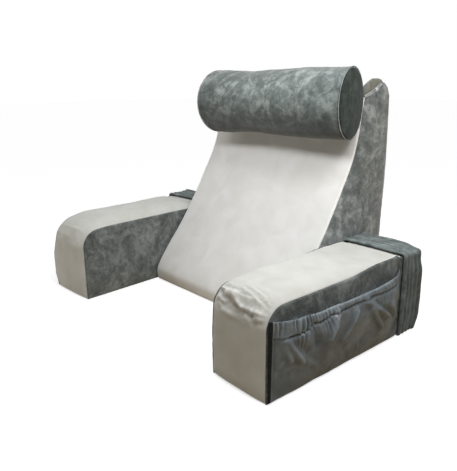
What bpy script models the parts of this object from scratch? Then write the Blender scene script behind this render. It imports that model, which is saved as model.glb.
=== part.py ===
# Reading pillow: a filled wedge back with a light front panel, two loose arms
# held in wide ribbed cuffs, a nylon pocket on each arm and a round neck bolster.
# Metres. +X points to the sitter's left arm, +Y to the rear and +Z up. The
# origin lies on the floor under the middle of the wedge.

import math

import bmesh
import bpy

# Cloth and clearances
TOUCH = 0.0004
CLOTH = 0.003
NYLON = 0.002
SKIN = CLOTH + TOUCH

# Wedge back
WEDGE_HALF = 0.215
WEDGE_COLUMNS = 8
WEDGE_DEPTH_CELLS = 8
FRONT_CROWN = 0.005
REAR_CROWN = 0.006
PANEL_TOP = 0.450
PANEL_EDGE = 0.001
SIDE_CROWNS = {"left": 0.0065, "right": 0.0115}

# The wedge seen from the side, a row for each height
WEDGE_SECTIONS = [
    {"height": 0.000, "front": -0.157, "rear": 0.156},
    {"height": 0.010, "front": -0.1615, "rear": 0.160},
    {"height": 0.035, "front": -0.159, "rear": 0.161},
    {"height": 0.082, "front": -0.126, "rear": 0.161},
    {"height": 0.143, "front": -0.076, "rear": 0.160},
    {"height": 0.204, "front": -0.034, "rear": 0.161},
    {"height": 0.266, "front": 0.004, "rear": 0.163},
    {"height": 0.322, "front": 0.035, "rear": 0.163},
    {"height": 0.375, "front": 0.0515, "rear": 0.160},
    {"height": 0.425, "front": 0.060, "rear": 0.159},
    {"height": 0.450, "front": 0.065, "rear": 0.158},
    {"height": 0.4555, "front": 0.067, "rear": 0.156},
    {"height": 0.468, "front": 0.073, "rear": 0.149},
    {"height": 0.480, "front": 0.085, "rear": 0.133},
    {"height": 0.486, "front": 0.098, "rear": 0.116},
]

# The top sinks between the bolster and the fuller right edge that carries the zip
WEDGE_DENT = {"from": (0.080, 0.120), "to": (0.178, 0.2116), "height": (0.400, 0.486), "depth": 0.026}

# Arms
ARM_WIDTH = 0.130
ARM_LENGTH = 0.4188
ARM_REAR = 0.004
ARM_SEAM_HEIGHT = 0.159
ARM_NOSE_RADIUS = 0.036
ARM_TOP_CROWN = 0.014
ARM_FRONT_CROWN = 0.007
ARM_SIDE_CROWN = 0.005
ARM_SIDE_RELEASE = {"inner": (0.195, 0.290), "outer": (0.069, 0.115)}

# The arm swells up just ahead of the cuff that squeezes it, and its front may
# spread sideways
ARM_SWELL = {"from": (0.067, 0.081), "to": (0.135, 0.225)}
ARM_RISE = {"from": (0.0664, 0.0954), "to": (0.340, 0.415)}
ARM_SPREAD = {"along": (0.250, 0.4188), "shoulder": (0.070, 0.140), "foot": 0.030, "foot_share": 0.55}
ARM_CELLS = {"across": 6, "along": 20, "up": 11}
ARM_CREASES = [
    {"across": 0.12, "height": 0.140, "depth": 0.0028, "width": 0.014},
    {"across": 0.42, "height": 0.133, "depth": 0.0022, "width": 0.013},
    {"across": 0.72, "height": 0.142, "depth": 0.0030, "width": 0.014},
    {"across": 0.92, "height": 0.126, "depth": 0.0026, "width": 0.012},
]

# Where each arm stands: the rear corner of its inner side, how far it turns
# inward, and how thick its cuff is towards the wedge. Then how far its filling
# lifts the top inside the cuff and at both seams, swells and spreads.
ARMS = {
    "right": {
        "sign": 1, "corner": 0.2372, "rear": 0.064, "toe": 0.0240, "inner_cuff": 0.0080,
        "cuff_rise": 0.0036, "rise": {"inner": 0.0065, "outer": 0.0},
        "swell": {"inner": 0.0040, "outer": 0.0075}, "spread": {"inner": 0.0035, "outer": 0.0},
    },
    "left": {
        "sign": -1, "corner": 0.2307, "rear": 0.061, "toe": 0.0468, "inner_cuff": 0.0050,
        "cuff_rise": 0.0127, "rise": {"inner": 0.0040, "outer": 0.0115},
        "swell": {"inner": 0.0, "outer": 0.0}, "spread": {"inner": 0.0, "outer": 0.0210},
    },
}

# Cuff: a thick ribbed loop round the rear end of the arm
CUFF_WIDTH = 0.0634
CUFF_THICKNESS = 0.0078
CUFF_UNDER = 0.003
CUFF_EASE = 0.0008
CUFF_INNER_RADIUS = 0.002
CUFF_SEAT = 0.0040
CUFF_RELEASE = 0.020
CUFF_CORNER_STEPS = 3
CUFF_RUN_STEPS = 4

# The cuff's cross-section, from its front edge to its rear lip and back along
# the arm: place across its width, and rise above the arm as a share of its
# thickness
CUFF_SECTION = [
    {"across": 1.000, "rise": 0.45},
    {"across": 0.975, "rise": 0.92},
    {"across": 0.880, "rise": 1.00},
    {"across": 0.790, "rise": 0.80},
    {"across": 0.680, "rise": 1.02},
    {"across": 0.570, "rise": 0.78},
    {"across": 0.450, "rise": 1.00},
    {"across": 0.340, "rise": 0.76},
    {"across": 0.230, "rise": 0.98},
    {"across": 0.130, "rise": 0.80},
    {"across": 0.030, "rise": 1.22},
    {"across": -0.040, "rise": 1.05},
    {"across": -0.020, "rise": 0.35},
    {"across": 0.060, "rise": 0.00},
    {"across": 0.500, "rise": 0.00},
    {"across": 0.960, "rise": 0.00},
]

# Pocket on the outer side of each arm
POCKET_FRONT = 0.4165
POCKET_REAR = 0.071
POCKET_FOOT = 0.004
POCKET_MOUTH = 0.141
POCKET_CASING = 0.013
POCKET_CELLS = {"along": 24, "up": 11}
POCKET_BELLY = 0.015
POCKET_MOUTH_STAND = 0.010
POCKET_GATHER = 0.0010
POCKET_GATHER_PITCH = 0.028
POCKET_MOUTH_SAG = 0.007

# Folds of the pocket: both ends measured forward along the arm and up from
# the floor, with the fold's height and half width
POCKET_FOLDS = [
    {"from_along": 0.205, "from_up": 0.122, "to_along": 0.134, "to_up": 0.074, "height": 0.0045, "width": 0.011},
    {"from_along": 0.131, "from_up": 0.095, "to_along": 0.083, "to_up": 0.049, "height": 0.0040, "width": 0.011},
    {"from_along": 0.283, "from_up": 0.122, "to_along": 0.303, "to_up": 0.085, "height": 0.0040, "width": 0.011},
    {"from_along": 0.235, "from_up": 0.112, "to_along": 0.265, "to_up": 0.072, "height": 0.0035, "width": 0.011},
    {"from_along": 0.395, "from_up": 0.116, "to_along": 0.363, "to_up": 0.062, "height": 0.0045, "width": 0.010},
]

# Neck bolster: a little thinner to the right, where its end panel is drawn in
# to the rear
BOLSTER_LEFT = -0.1430
BOLSTER_RIGHT = 0.2370
BOLSTER_RADIUS = {"left": 0.0710, "right": 0.0682}
BOLSTER_REAR = -0.006
BOLSTER_HEIGHT = {"left": 0.4357, "right": 0.4393}
BOLSTER_SLANT = math.tan(math.radians(17))
BOLSTER_STEPS = 32
BOLSTER_CELLS = 10
BOLSTER_END_CROWN = 0.008
BOLSTER_SEAM = 0.0012
BOLSTER_DIPS = [
    {"place": 0.34, "depth": 0.0030, "width": 0.16},
    {"place": 0.78, "depth": -0.0010, "width": 0.12},
]
BOLSTER_CLEAR = 0.0005

# Zip across the right side of the wedge's top
ZIP_START = {"rear": 0.0531, "height": 0.4444}
ZIP_END = {"rear": 0.1247, "height": 0.4766}
ZIP_OPENING = 0.0074
ZIP_TAPE = 0.001
ZIP_TAPE_SEAT = 0.0007
ZIP_ROW_WIDTH = 0.0026
ZIP_ROW_THICKNESS = 0.0018
ZIP_TEETH = 24
ZIP_TOOTH_STEP = 0.0004
ZIP_MARGIN = 0.0035
ZIP_SLIDER_PLACE = 0.54
ZIP_SLIDER = {"length": 0.0090, "width": 0.0072, "thickness": 0.0026}
ZIP_PULL = {"length": 0.0105, "width": 0.0042, "thickness": 0.0013}
ZIP_PULL_SEAT = 0.0042

COLOURS = {
    "light_velvet": {"colour": (0.66, 0.65, 0.61), "roughness": 0.92, "metallic": 0.0},
    "dark_plush": {"colour": (0.125, 0.140, 0.135), "roughness": 0.88, "metallic": 0.0},
    "dark_nylon": {"colour": (0.085, 0.090, 0.092), "roughness": 0.45, "metallic": 0.0},
    "ribbed_webbing": {"colour": (0.090, 0.105, 0.105), "roughness": 0.80, "metallic": 0.0},
    "zip_metal": {"colour": (0.70, 0.69, 0.66), "roughness": 0.32, "metallic": 1.0},
}


def clear_scene():
    for thing in list(bpy.data.objects):
        bpy.data.objects.remove(thing, do_unlink=True)


def make_collection(name):
    collection = bpy.data.collections.get(name)
    if collection is None:
        collection = bpy.data.collections.new(name)
        bpy.context.scene.collection.children.link(collection)
    return collection


def make_material(node, finish):
    look = COLOURS[finish]
    material = bpy.data.materials.new(node + "_" + finish)
    material.use_nodes = True
    shader = material.node_tree.nodes["Principled BSDF"]
    shader.inputs["Base Color"].default_value = (*look["colour"], 1.0)
    shader.inputs["Roughness"].default_value = look["roughness"]
    shader.inputs["Metallic"].default_value = look["metallic"]
    return material


def finish_piece(mesh, node, finish, collection):
    bmesh.ops.recalc_face_normals(mesh, faces=mesh.faces)
    if mesh.calc_volume(signed=True) < 0.0:
        bmesh.ops.reverse_faces(mesh, faces=mesh.faces)
    bmesh.ops.triangulate(mesh, faces=mesh.faces, quad_method="SHORT_EDGE")
    data = bpy.data.meshes.new(node)
    mesh.to_mesh(data)
    mesh.free()
    data.shade_smooth()
    data.set_sharp_from_angle(angle=math.radians(40))
    piece = bpy.data.objects.new(node, data)
    data.materials.append(make_material(node, finish))
    collection.objects.link(piece)
    return piece


# Cubes cut into cells, whose points a function then moves into place

def cell_block(cells_a, cells_b, cells_c):
    mesh = bmesh.new()
    bmesh.ops.create_cube(mesh, size=1.0)
    bmesh.ops.translate(mesh, verts=mesh.verts, vec=(0.5, 0.5, 0.5))
    for axis, cells in enumerate((cells_a, cells_b, cells_c)):
        if cells < 2:
            continue
        whole = [edge for edge in mesh.edges
                 if abs(edge.verts[0].co[axis] - edge.verts[1].co[axis]) > 0.5]
        bmesh.ops.subdivide_edges(mesh, edges=whole, cuts=cells - 1, use_grid_fill=True)
    return mesh


def moved(mesh, place):
    for vertex in mesh.verts:
        vertex.co = place(*vertex.co)
    return mesh


def flat_bulge(share, power=4):
    return 1.0 - abs(2.0 * share - 1.0) ** power


def smooth_step(value, low, high):
    share = min(max((value - low) / (high - low), 0.0), 1.0)
    return share * share * (3.0 - 2.0 * share)


# Wedge back

def wedge_outline(height, side):
    rows = WEDGE_SECTIONS
    for low, high in zip(rows, rows[1:]):
        if height <= high["height"]:
            share = (height - low["height"]) / (high["height"] - low["height"])
            return low[side] + share * (high[side] - low[side])
    return rows[-1][side]


def wedge_lean(height):
    reach = 0.006
    low = max(height - reach, 0.0)
    high = min(height + reach, PANEL_TOP)
    slope = (wedge_outline(high, "front") - wedge_outline(low, "front")) / (high - low)
    return math.sqrt(1.0 + slope * slope)


def wedge_rise(height):
    top = WEDGE_SECTIONS[-1]["height"]
    return flat_bulge(height / top, 6)


def wedge_front(across, height):
    span = min(abs(across) / WEDGE_HALF, 1.0)
    return wedge_outline(height, "front") - FRONT_CROWN * (1.0 - span ** 4) * wedge_rise(height)


def wedge_rear(across, height):
    span = min(abs(across) / WEDGE_HALF, 1.0)
    return wedge_outline(height, "rear") + REAR_CROWN * (1.0 - span ** 4) * wedge_rise(height)


def wedge_core_front(across, height):
    if height > PANEL_TOP + PANEL_EDGE:
        return wedge_front(across, height)
    return wedge_front(across, height) + SKIN * wedge_lean(height)


def wedge_side(hand, rear, height):
    front = wedge_core_front(WEDGE_HALF, height)
    share = (rear - front) / (wedge_outline(height, "rear") - front)
    share = min(max(share, 0.0), 1.0)
    crown = SIDE_CROWNS[hand] * flat_bulge(share) * wedge_rise(height)
    return WEDGE_HALF - SKIN + crown


def wedge_column(share):
    across = (2.0 * share - 1.0) * WEDGE_HALF
    limit = WEDGE_HALF - SKIN
    return max(-limit, min(limit, across))


def wedge_dent(across, height):
    window = smooth_step(across, *WEDGE_DENT["from"]) * (1.0 - smooth_step(across, *WEDGE_DENT["to"]))
    return WEDGE_DENT["depth"] * window * smooth_step(height, *WEDGE_DENT["height"])


def wedge_core_point(share_across, share_deep, share_up):
    level = WEDGE_SECTIONS[round(share_up * (len(WEDGE_SECTIONS) - 1))]["height"]
    across = wedge_column(share_across)
    front = wedge_core_front(across, level)
    rear = front + share_deep * (wedge_rear(across, level) - front)
    dent = wedge_dent(across, level)
    if share_across in (0.0, 1.0):
        hand = "right" if share_across == 1.0 else "left"
        across = math.copysign(wedge_side(hand, rear, level), across)
    return across, rear, level - dent


def build_wedge_core(collection):
    block = cell_block(WEDGE_COLUMNS, WEDGE_DEPTH_CELLS, len(WEDGE_SECTIONS) - 1)
    for vertex in block.verts:
        vertex.co.x = round(vertex.co.x * WEDGE_COLUMNS) / WEDGE_COLUMNS
    return finish_piece(moved(block, wedge_core_point), "back_body", "dark_plush", collection)


def panel_levels():
    levels = [row["height"] for row in WEDGE_SECTIONS if row["height"] < PANEL_TOP]
    return levels + [PANEL_TOP - PANEL_EDGE]


def front_panel_point(share_across, share_thick, share_up):
    levels = panel_levels()
    level = levels[round(share_up * (len(levels) - 1))]
    across = (2.0 * share_across - 1.0) * WEDGE_HALF
    rear = wedge_front(across, level) + (1.0 - share_thick) * CLOTH * wedge_lean(level)
    return across, rear, level - wedge_dent(across, level)


def build_front_panel(collection):
    block = cell_block(WEDGE_COLUMNS, 1, len(panel_levels()) - 1)
    return finish_piece(moved(block, front_panel_point), "back_front_panel", "light_velvet", collection)


def side_panel_block(hand):
    sign = 1 if hand == "right" else -1

    def place(share_thick, share_deep, share_up):
        level = WEDGE_SECTIONS[round(share_up * (len(WEDGE_SECTIONS) - 1))]["height"]
        front = wedge_core_front(WEDGE_HALF, level)
        rear = front + share_deep * (wedge_outline(level, "rear") - front)
        across = wedge_side(hand, rear, level) + TOUCH + share_thick * CLOTH
        return sign * across, rear, level

    return moved(cell_block(1, WEDGE_DEPTH_CELLS, len(WEDGE_SECTIONS) - 1), place)


def zip_line():
    deep = ZIP_END["rear"] - ZIP_START["rear"]
    rise = ZIP_END["height"] - ZIP_START["height"]
    length = math.hypot(deep, rise)
    return deep / length, rise / length, length


def cut_along_zip(mesh, offset, keep_above):
    deep, rise, _ = zip_line()
    point = (0.0, ZIP_START["rear"] - offset * rise, ZIP_START["height"] + offset * deep)
    bmesh.ops.bisect_plane(
        mesh, geom=mesh.verts[:] + mesh.edges[:] + mesh.faces[:], dist=0.00001,
        plane_co=point, plane_no=(0.0, -rise, deep),
        clear_inner=keep_above, clear_outer=not keep_above)
    rim = [edge for edge in mesh.edges if edge.is_boundary]
    bmesh.ops.holes_fill(mesh, edges=rim, sides=0)
    bmesh.ops.triangulate(mesh, faces=[face for face in mesh.faces if len(face.verts) > 4])


def build_side_panels(collection):
    finish_piece(side_panel_block("left"), "back_side_left", "dark_plush", collection)
    lower = side_panel_block("right")
    cut_along_zip(lower, -ZIP_OPENING / 2, keep_above=False)
    finish_piece(lower, "back_side_right", "dark_plush", collection)
    upper = side_panel_block("right")
    cut_along_zip(upper, ZIP_OPENING / 2, keep_above=True)
    finish_piece(upper, "back_side_right_top", "dark_plush", collection)


# Arms: measured out from the inner side, forward from the rear and up

def arm_press(along):
    return smooth_step(along, CUFF_WIDTH + 0.004, CUFF_WIDTH + 0.050)


def arm_side_crown(arm, side, along, up):
    span = max(along - CUFF_WIDTH, 0.0) / (ARM_LENGTH - CUFF_WIDTH)
    release = smooth_step(along, *ARM_SIDE_RELEASE[side])
    crown = ARM_SIDE_CROWN * release * flat_bulge(0.5 + span / 2) * flat_bulge(up / ARM_SEAM_HEIGHT)
    foot = ARM_SPREAD["foot_share"]
    foot += (1.0 - foot) * smooth_step(up, 0.0, ARM_SPREAD["foot"])
    spread = smooth_step(along, *ARM_SPREAD["along"]) * (1.0 - smooth_step(up, *ARM_SPREAD["shoulder"])) * foot
    return crown + arm["spread"][side] * spread


def arm_lift(along, up):
    seat = 1.0 - smooth_step(along, CUFF_WIDTH + 0.002, CUFF_WIDTH + CUFF_RELEASE)
    return CUFF_SEAT * seat * (1.0 - up / ARM_SEAM_HEIGHT)


def arm_swell(along):
    return smooth_step(along, *ARM_SWELL["from"]) * (1.0 - smooth_step(along, *ARM_SWELL["to"]))


def across_mix(ends, share_across):
    return ends["inner"] + share_across * (ends["outer"] - ends["inner"])


def arm_rise(arm, share_across, along):
    settled = smooth_step(along, *ARM_RISE["from"])
    ahead = across_mix(arm["rise"], share_across) * (1.0 - smooth_step(along, *ARM_RISE["to"]))
    swell = across_mix(arm["swell"], share_across) * arm_swell(along)
    return arm["cuff_rise"] * (1.0 - settled) + ahead * settled + swell


def arm_crease(share_across, height):
    total = 0.0
    for crease in ARM_CREASES:
        sideways = (share_across - crease["across"]) * ARM_WIDTH / crease["width"]
        upright = (height - crease["height"]) / (crease["width"] * 1.6)
        total += crease["depth"] * math.exp(-sideways * sideways - upright * upright)
    return total


def arm_point(arm, share_across, share_along, share_up):
    along = ARM_REAR + share_along * (ARM_LENGTH - ARM_REAR)
    up = share_up * ARM_SEAM_HEIGHT
    nose_along = ARM_LENGTH - ARM_NOSE_RADIUS
    nose_up = ARM_SEAM_HEIGHT - ARM_NOSE_RADIUS
    ahead = along - nose_along
    above = up - nose_up
    if ahead > 0.0 and above > 0.0:
        scale = max(ahead, above) / math.hypot(ahead, above)
        along = nose_along + ahead * scale
        up = nose_up + above * scale
    out = SKIN + share_across * (ARM_WIDTH - 2 * SKIN)
    if share_across > 0.999:
        out += arm_side_crown(arm, "outer", along, up)
    if share_across < 0.001:
        out -= arm_side_crown(arm, "inner", along, up)
    middle = flat_bulge(share_across)
    swell = arm_swell(along) if arm["swell"]["outer"] else 0.0
    crown = ARM_TOP_CROWN * middle * arm_press(along) * (1.0 - swell)
    top = (crown + arm_rise(arm, share_across, along)) * share_up ** 6
    front = ARM_FRONT_CROWN * middle * share_along ** 12 * (0.35 + 0.65 * flat_bulge(share_up))
    dent = arm_crease(share_across, up) * middle * share_along ** 12
    return out, along + front - dent, up + top + arm_lift(along, up)


def arm_to_world(arm, out, along, up):
    turn = arm["toe"]
    across = arm["corner"] + out * math.cos(turn) - along * math.sin(turn)
    rear = arm["rear"] - out * math.sin(turn) - along * math.cos(turn)
    return arm["sign"] * across, rear, up


def build_arm_body(hand, arm, collection):
    cells = ARM_CELLS

    def place(share_across, share_along, share_up):
        return arm_to_world(arm, *arm_point(arm, share_across, share_along, share_up))

    block = moved(cell_block(cells["across"], cells["along"], cells["up"]), place)
    return finish_piece(block, "arm_" + hand + "_body", "light_velvet", collection)


def build_arm_side(hand, arm, side, collection):
    face = 1.0 if side == "outer" else 0.0
    direction = 1 if side == "outer" else -1

    def place(share_thick, share_along, share_up):
        out, along, up = arm_point(arm, face, share_along, share_up)
        return arm_to_world(arm, out + direction * (TOUCH + share_thick * CLOTH), along, up)

    block = moved(cell_block(1, ARM_CELLS["along"], ARM_CELLS["up"]), place)
    return finish_piece(block, "arm_" + hand + "_side_" + side, "dark_plush", collection)


# Pocket

def fold_height(along, up):
    total = 0.0
    for fold in POCKET_FOLDS:
        run = fold["to_along"] - fold["from_along"]
        drop = fold["to_up"] - fold["from_up"]
        reach = run * run + drop * drop
        share = ((along - fold["from_along"]) * run + (up - fold["from_up"]) * drop) / reach
        share = min(max(share, 0.0), 1.0)
        away = math.hypot(along - fold["from_along"] - share * run, up - fold["from_up"] - share * drop)
        total += fold["height"] * math.exp(-(away / fold["width"]) ** 2)
    return total


def pocket_stand(along, up):
    share_along = (along - POCKET_REAR) / (POCKET_FRONT - POCKET_REAR)
    share_up = (up - POCKET_FOOT) / (POCKET_MOUTH - POCKET_FOOT)
    ends = min(1.0, flat_bulge(share_along, 6) * 1.02)
    belly = POCKET_BELLY * math.sin(math.pi * min(share_up * 0.78, 1.0))
    mouth = POCKET_MOUTH_STAND * smooth_step(share_up, 0.4, 1.0) - belly * smooth_step(share_up, 0.7, 1.0) * 0.55
    casing = 0.0
    if up > POCKET_MOUTH - POCKET_CASING:
        casing = POCKET_GATHER * (1.0 + math.cos(2 * math.pi * along / POCKET_GATHER_PITCH))
    return ends * (belly + mouth + casing + fold_height(along, up) * min(share_up * 3, 1.0))


def build_pocket(hand, arm, collection):
    cells = POCKET_CELLS

    def place(share_thick, share_along, share_up):
        along = POCKET_REAR + share_along * (POCKET_FRONT - POCKET_REAR)
        sag = POCKET_MOUTH_SAG * flat_bulge(share_along, 2) * share_up
        up = POCKET_FOOT + share_up * (POCKET_MOUTH - POCKET_FOOT) - sag
        out = ARM_WIDTH + arm_side_crown(arm, "outer", along, up) + 2 * TOUCH + pocket_stand(along, up)
        return arm_to_world(arm, out + share_thick * NYLON, along, up)

    block = moved(cell_block(1, cells["along"], cells["up"]), place)
    return finish_piece(block, "arm_" + hand + "_pocket", "dark_nylon", collection)


# Cuff

def cuff_path(arm):
    low_out, high_out = -CUFF_EASE, ARM_WIDTH + CUFF_EASE
    low_up, high_up = CUFF_SEAT - CUFF_EASE, ARM_SEAM_HEIGHT + arm["cuff_rise"] + CUFF_EASE
    corners = [
        {"out": high_out, "up": high_up, "turn": 0.0, "before": CUFF_THICKNESS},
        {"out": low_out, "up": high_up, "turn": 0.5 * math.pi, "before": CUFF_THICKNESS},
        {"out": low_out, "up": low_up, "turn": math.pi, "before": arm["inner_cuff"]},
        {"out": high_out, "up": low_up, "turn": 1.5 * math.pi, "before": CUFF_UNDER},
    ]
    path = []
    for index, corner in enumerate(corners):
        following = corners[(index + 1) % len(corners)]
        inset_out = math.copysign(CUFF_INNER_RADIUS, math.cos(corner["turn"] + math.pi / 4))
        inset_up = math.copysign(CUFF_INNER_RADIUS, math.sin(corner["turn"] + math.pi / 4))
        for step in range(CUFF_CORNER_STEPS + 1):
            share = step / CUFF_CORNER_STEPS
            angle = corner["turn"] + share * math.pi / 2
            path.append({
                "out": corner["out"] - inset_out + CUFF_INNER_RADIUS * math.cos(angle),
                "up": corner["up"] - inset_up + CUFF_INNER_RADIUS * math.sin(angle),
                "normal_out": math.cos(angle), "normal_up": math.sin(angle),
                "thickness": corner["before"] + share * (following["before"] - corner["before"])})
        start = path[-1]
        next_inset_out = math.copysign(CUFF_INNER_RADIUS, math.cos(following["turn"] + math.pi / 4))
        next_inset_up = math.copysign(CUFF_INNER_RADIUS, math.sin(following["turn"] + math.pi / 4))
        end_out = following["out"] - next_inset_out + CUFF_INNER_RADIUS * math.cos(following["turn"])
        end_up = following["up"] - next_inset_up + CUFF_INNER_RADIUS * math.sin(following["turn"])
        for step in range(1, CUFF_RUN_STEPS):
            share = step / CUFF_RUN_STEPS
            path.append({
                "out": start["out"] + share * (end_out - start["out"]),
                "up": start["up"] + share * (end_up - start["up"]),
                "normal_out": start["normal_out"], "normal_up": start["normal_up"],
                "thickness": following["before"]})
    return path


def build_cuff(hand, arm, collection):
    path = cuff_path(arm)
    mesh = bmesh.new()
    rows = len(CUFF_SECTION)
    for row in CUFF_SECTION:
        mesh.verts.new((row["across"], row["rise"], 0.0))
    mesh.verts.ensure_lookup_table()
    for index in range(rows):
        mesh.edges.new((mesh.verts[index], mesh.verts[(index + 1) % rows]))
    bmesh.ops.spin(mesh, geom=mesh.verts[:] + mesh.edges[:], cent=(0, -1, 0), axis=(1, 0, 0),
                   angle=2 * math.pi, steps=len(path), use_merge=True, use_duplicate=False)
    for vertex in mesh.verts:
        rise = math.hypot(vertex.co.y + 1.0, vertex.co.z) - 1.0
        turn = math.atan2(vertex.co.z, vertex.co.y + 1.0) % (2 * math.pi)
        spot = path[round(turn / (2 * math.pi) * len(path)) % len(path)]
        lift = rise * spot["thickness"]
        vertex.co = arm_to_world(arm, spot["out"] + lift * spot["normal_out"],
                                 vertex.co.x * CUFF_WIDTH, spot["up"] + lift * spot["normal_up"])
    return finish_piece(mesh, "arm_" + hand + "_cuff", "ribbed_webbing", collection)


# Neck bolster

def bolster_radius(share):
    radius = BOLSTER_RADIUS["left"] + share * (BOLSTER_RADIUS["right"] - BOLSTER_RADIUS["left"])
    for dip in BOLSTER_DIPS:
        radius -= dip["depth"] * math.exp(-((share - dip["place"]) / dip["width"]) ** 2)
    return radius


def turned(profile):
    mesh = bmesh.new()
    for spot in profile:
        mesh.verts.new((spot["across"], spot["radius"], 0.0))
    mesh.verts.ensure_lookup_table()
    for index in range(len(profile) - 1):
        mesh.edges.new((mesh.verts[index], mesh.verts[index + 1]))
    bmesh.ops.spin(mesh, geom=mesh.verts[:] + mesh.edges[:], cent=(0, 0, 0), axis=(1, 0, 0),
                   angle=2 * math.pi, steps=BOLSTER_STEPS, use_merge=True, use_duplicate=False)
    bmesh.ops.remove_doubles(mesh, verts=mesh.verts, dist=0.00001)
    return mesh


def seat_on_panel(mesh):
    for vertex in mesh.verts:
        share = (vertex.co.x - BOLSTER_LEFT) / (BOLSTER_RIGHT - BOLSTER_LEFT)
        vertex.co.x -= BOLSTER_SLANT * vertex.co.y * max(share, 0.0) ** 2
        vertex.co.y += BOLSTER_REAR
        vertex.co.z += BOLSTER_HEIGHT["left"] + share * (BOLSTER_HEIGHT["right"] - BOLSTER_HEIGHT["left"])
        limit = wedge_front(vertex.co.x, vertex.co.z) - BOLSTER_CLEAR
        vertex.co.y = min(vertex.co.y, limit)


def end_crown(ring):
    return BOLSTER_END_CROWN * (1.0 - ring * ring)


def build_bolster(collection):
    left = BOLSTER_LEFT + SKIN
    right = BOLSTER_RIGHT - SKIN
    rings = [0.0, 0.5, 0.85]
    profile = [{"across": left - end_crown(ring), "radius": ring * bolster_radius(0.0)} for ring in rings]
    for step in range(BOLSTER_CELLS + 1):
        share = step / BOLSTER_CELLS
        profile.append({"across": left + share * (right - left), "radius": bolster_radius(share)})
    profile += [{"across": right + end_crown(ring), "radius": ring * bolster_radius(1.0)}
                for ring in reversed(rings)]
    mesh = turned(profile)
    seat_on_panel(mesh)
    finish_piece(mesh, "bolster_body", "dark_plush", collection)
    build_bolster_end("left", left - TOUCH, -1, rings, collection)
    build_bolster_end("right", right + TOUCH, 1, rings, collection)


def build_bolster_end(hand, place, direction, rings, collection):
    share = 0.0 if hand == "left" else 1.0
    rim = bolster_radius(share)
    inner = [{"across": place + direction * end_crown(ring), "radius": ring * rim} for ring in rings]
    inner.append({"across": place, "radius": rim})
    outer = [{"across": place + direction * (CLOTH + BOLSTER_SEAM), "radius": rim + BOLSTER_SEAM},
             {"across": place + direction * (CLOTH + BOLSTER_SEAM), "radius": rim - 2 * BOLSTER_SEAM}]
    outer += [{"across": spot["across"] + direction * CLOTH, "radius": spot["radius"]}
              for spot in reversed(inner[:-1])]
    mesh = turned(inner + outer)
    seat_on_panel(mesh)
    finish_piece(mesh, "bolster_end_" + hand, "dark_plush", collection)


# Zip

def zip_point(run, aside, lift):
    deep, rise, _ = zip_line()
    rear = ZIP_START["rear"] + run * deep - aside * rise
    height = ZIP_START["height"] + run * rise + aside * deep
    return wedge_side("right", rear, height) + lift, rear, height


def zip_strip(start, end, low, high, seat, thickness, cells):
    def place(share_thick, share_run, share_aside):
        run = start + share_run * (end - start)
        return zip_point(run, low + share_aside * (high - low), seat + share_thick * thickness)
    return moved(cell_block(1, cells, 1), place)


def build_zip(collection):
    _, _, length = zip_line()
    start = ZIP_MARGIN + 0.012
    end = length - ZIP_MARGIN
    half = ZIP_OPENING / 2 - 2 * TOUCH
    tape = zip_strip(start, end, -half, half, ZIP_TAPE_SEAT, ZIP_TAPE, 10)
    finish_piece(tape, "zip_tape", "dark_nylon", collection)
    seat = ZIP_TAPE_SEAT + ZIP_TAPE + TOUCH
    for name, direction in (("upper", 1), ("lower", -1)):
        near = direction * (TOUCH + ZIP_TOOTH_STEP)
        far = direction * (TOUCH + ZIP_ROW_WIDTH)
        row = zip_strip(start, end, near, far, seat, ZIP_ROW_THICKNESS, ZIP_TEETH)
        deep, rise, _ = zip_line()
        for vertex in row.verts:
            run = (vertex.co.y - ZIP_START["rear"]) * deep + (vertex.co.z - ZIP_START["height"]) * rise
            tooth = round((run - start) / (end - start) * ZIP_TEETH)
            if tooth % 2 == 0:
                vertex.co.x -= ZIP_TOOTH_STEP * (1 if vertex.co.x > zip_point(run, 0, seat)[0] else 0)
        finish_piece(row, "zip_teeth_" + name, "zip_metal", collection)
    build_slider(start, end, seat + ZIP_ROW_THICKNESS + 2 * TOUCH, collection)


def build_slider(start, end, seat, collection):
    middle = start + ZIP_SLIDER_PLACE * (end - start)
    half_long = ZIP_SLIDER["length"] / 2
    half_wide = ZIP_SLIDER["width"] / 2
    centre = zip_point(middle, 0.0, seat)
    _, rise, _ = zip_line()

    def place_slider(share_thick, share_run, share_aside):
        run = (2 * share_run - 1) * half_long
        narrow = 1.0 - 0.25 * share_run - 0.15 * share_thick
        aside = (2 * share_aside - 1) * half_wide * narrow
        return zip_point(middle + run, aside, seat + share_thick * ZIP_SLIDER["thickness"])

    finish_piece(moved(cell_block(1, 2, 2), place_slider), "zip_slider", "zip_metal", collection)
    top = centre[2] - half_wide - half_long * rise - 2 * TOUCH

    def place_pull(share_thick, share_wide, share_down):
        width = ZIP_PULL["width"] * (0.75 + 0.25 * math.sin(math.pi * share_down))
        rear = centre[1] + (share_wide - 0.5) * width
        height = top - share_down * ZIP_PULL["length"]
        across = wedge_side("right", rear, height) + ZIP_PULL_SEAT
        return across + share_thick * ZIP_PULL["thickness"], rear, height

    finish_piece(moved(cell_block(1, 2, 4), place_pull), "zip_pull", "dark_nylon", collection)


def main():
    clear_scene()
    parts = make_collection("reading_pillow")
    build_wedge_core(parts)
    build_front_panel(parts)
    build_side_panels(parts)
    for hand, arm in ARMS.items():
        build_arm_body(hand, arm, parts)
        build_arm_side(hand, arm, "inner", parts)
        build_arm_side(hand, arm, "outer", parts)
        build_pocket(hand, arm, parts)
        build_cuff(hand, arm, parts)
    build_bolster(parts)
    build_zip(parts)


main()
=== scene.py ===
# Reading pillow: a filled wedge back, two loose arms in ribbed cuffs and a neck bolster.
# Sizes are in metres and sit in the frame's own axes, with the floor at zero height.
import math

import bmesh
import bpy
from mathutils import Matrix, Vector, noise


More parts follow.
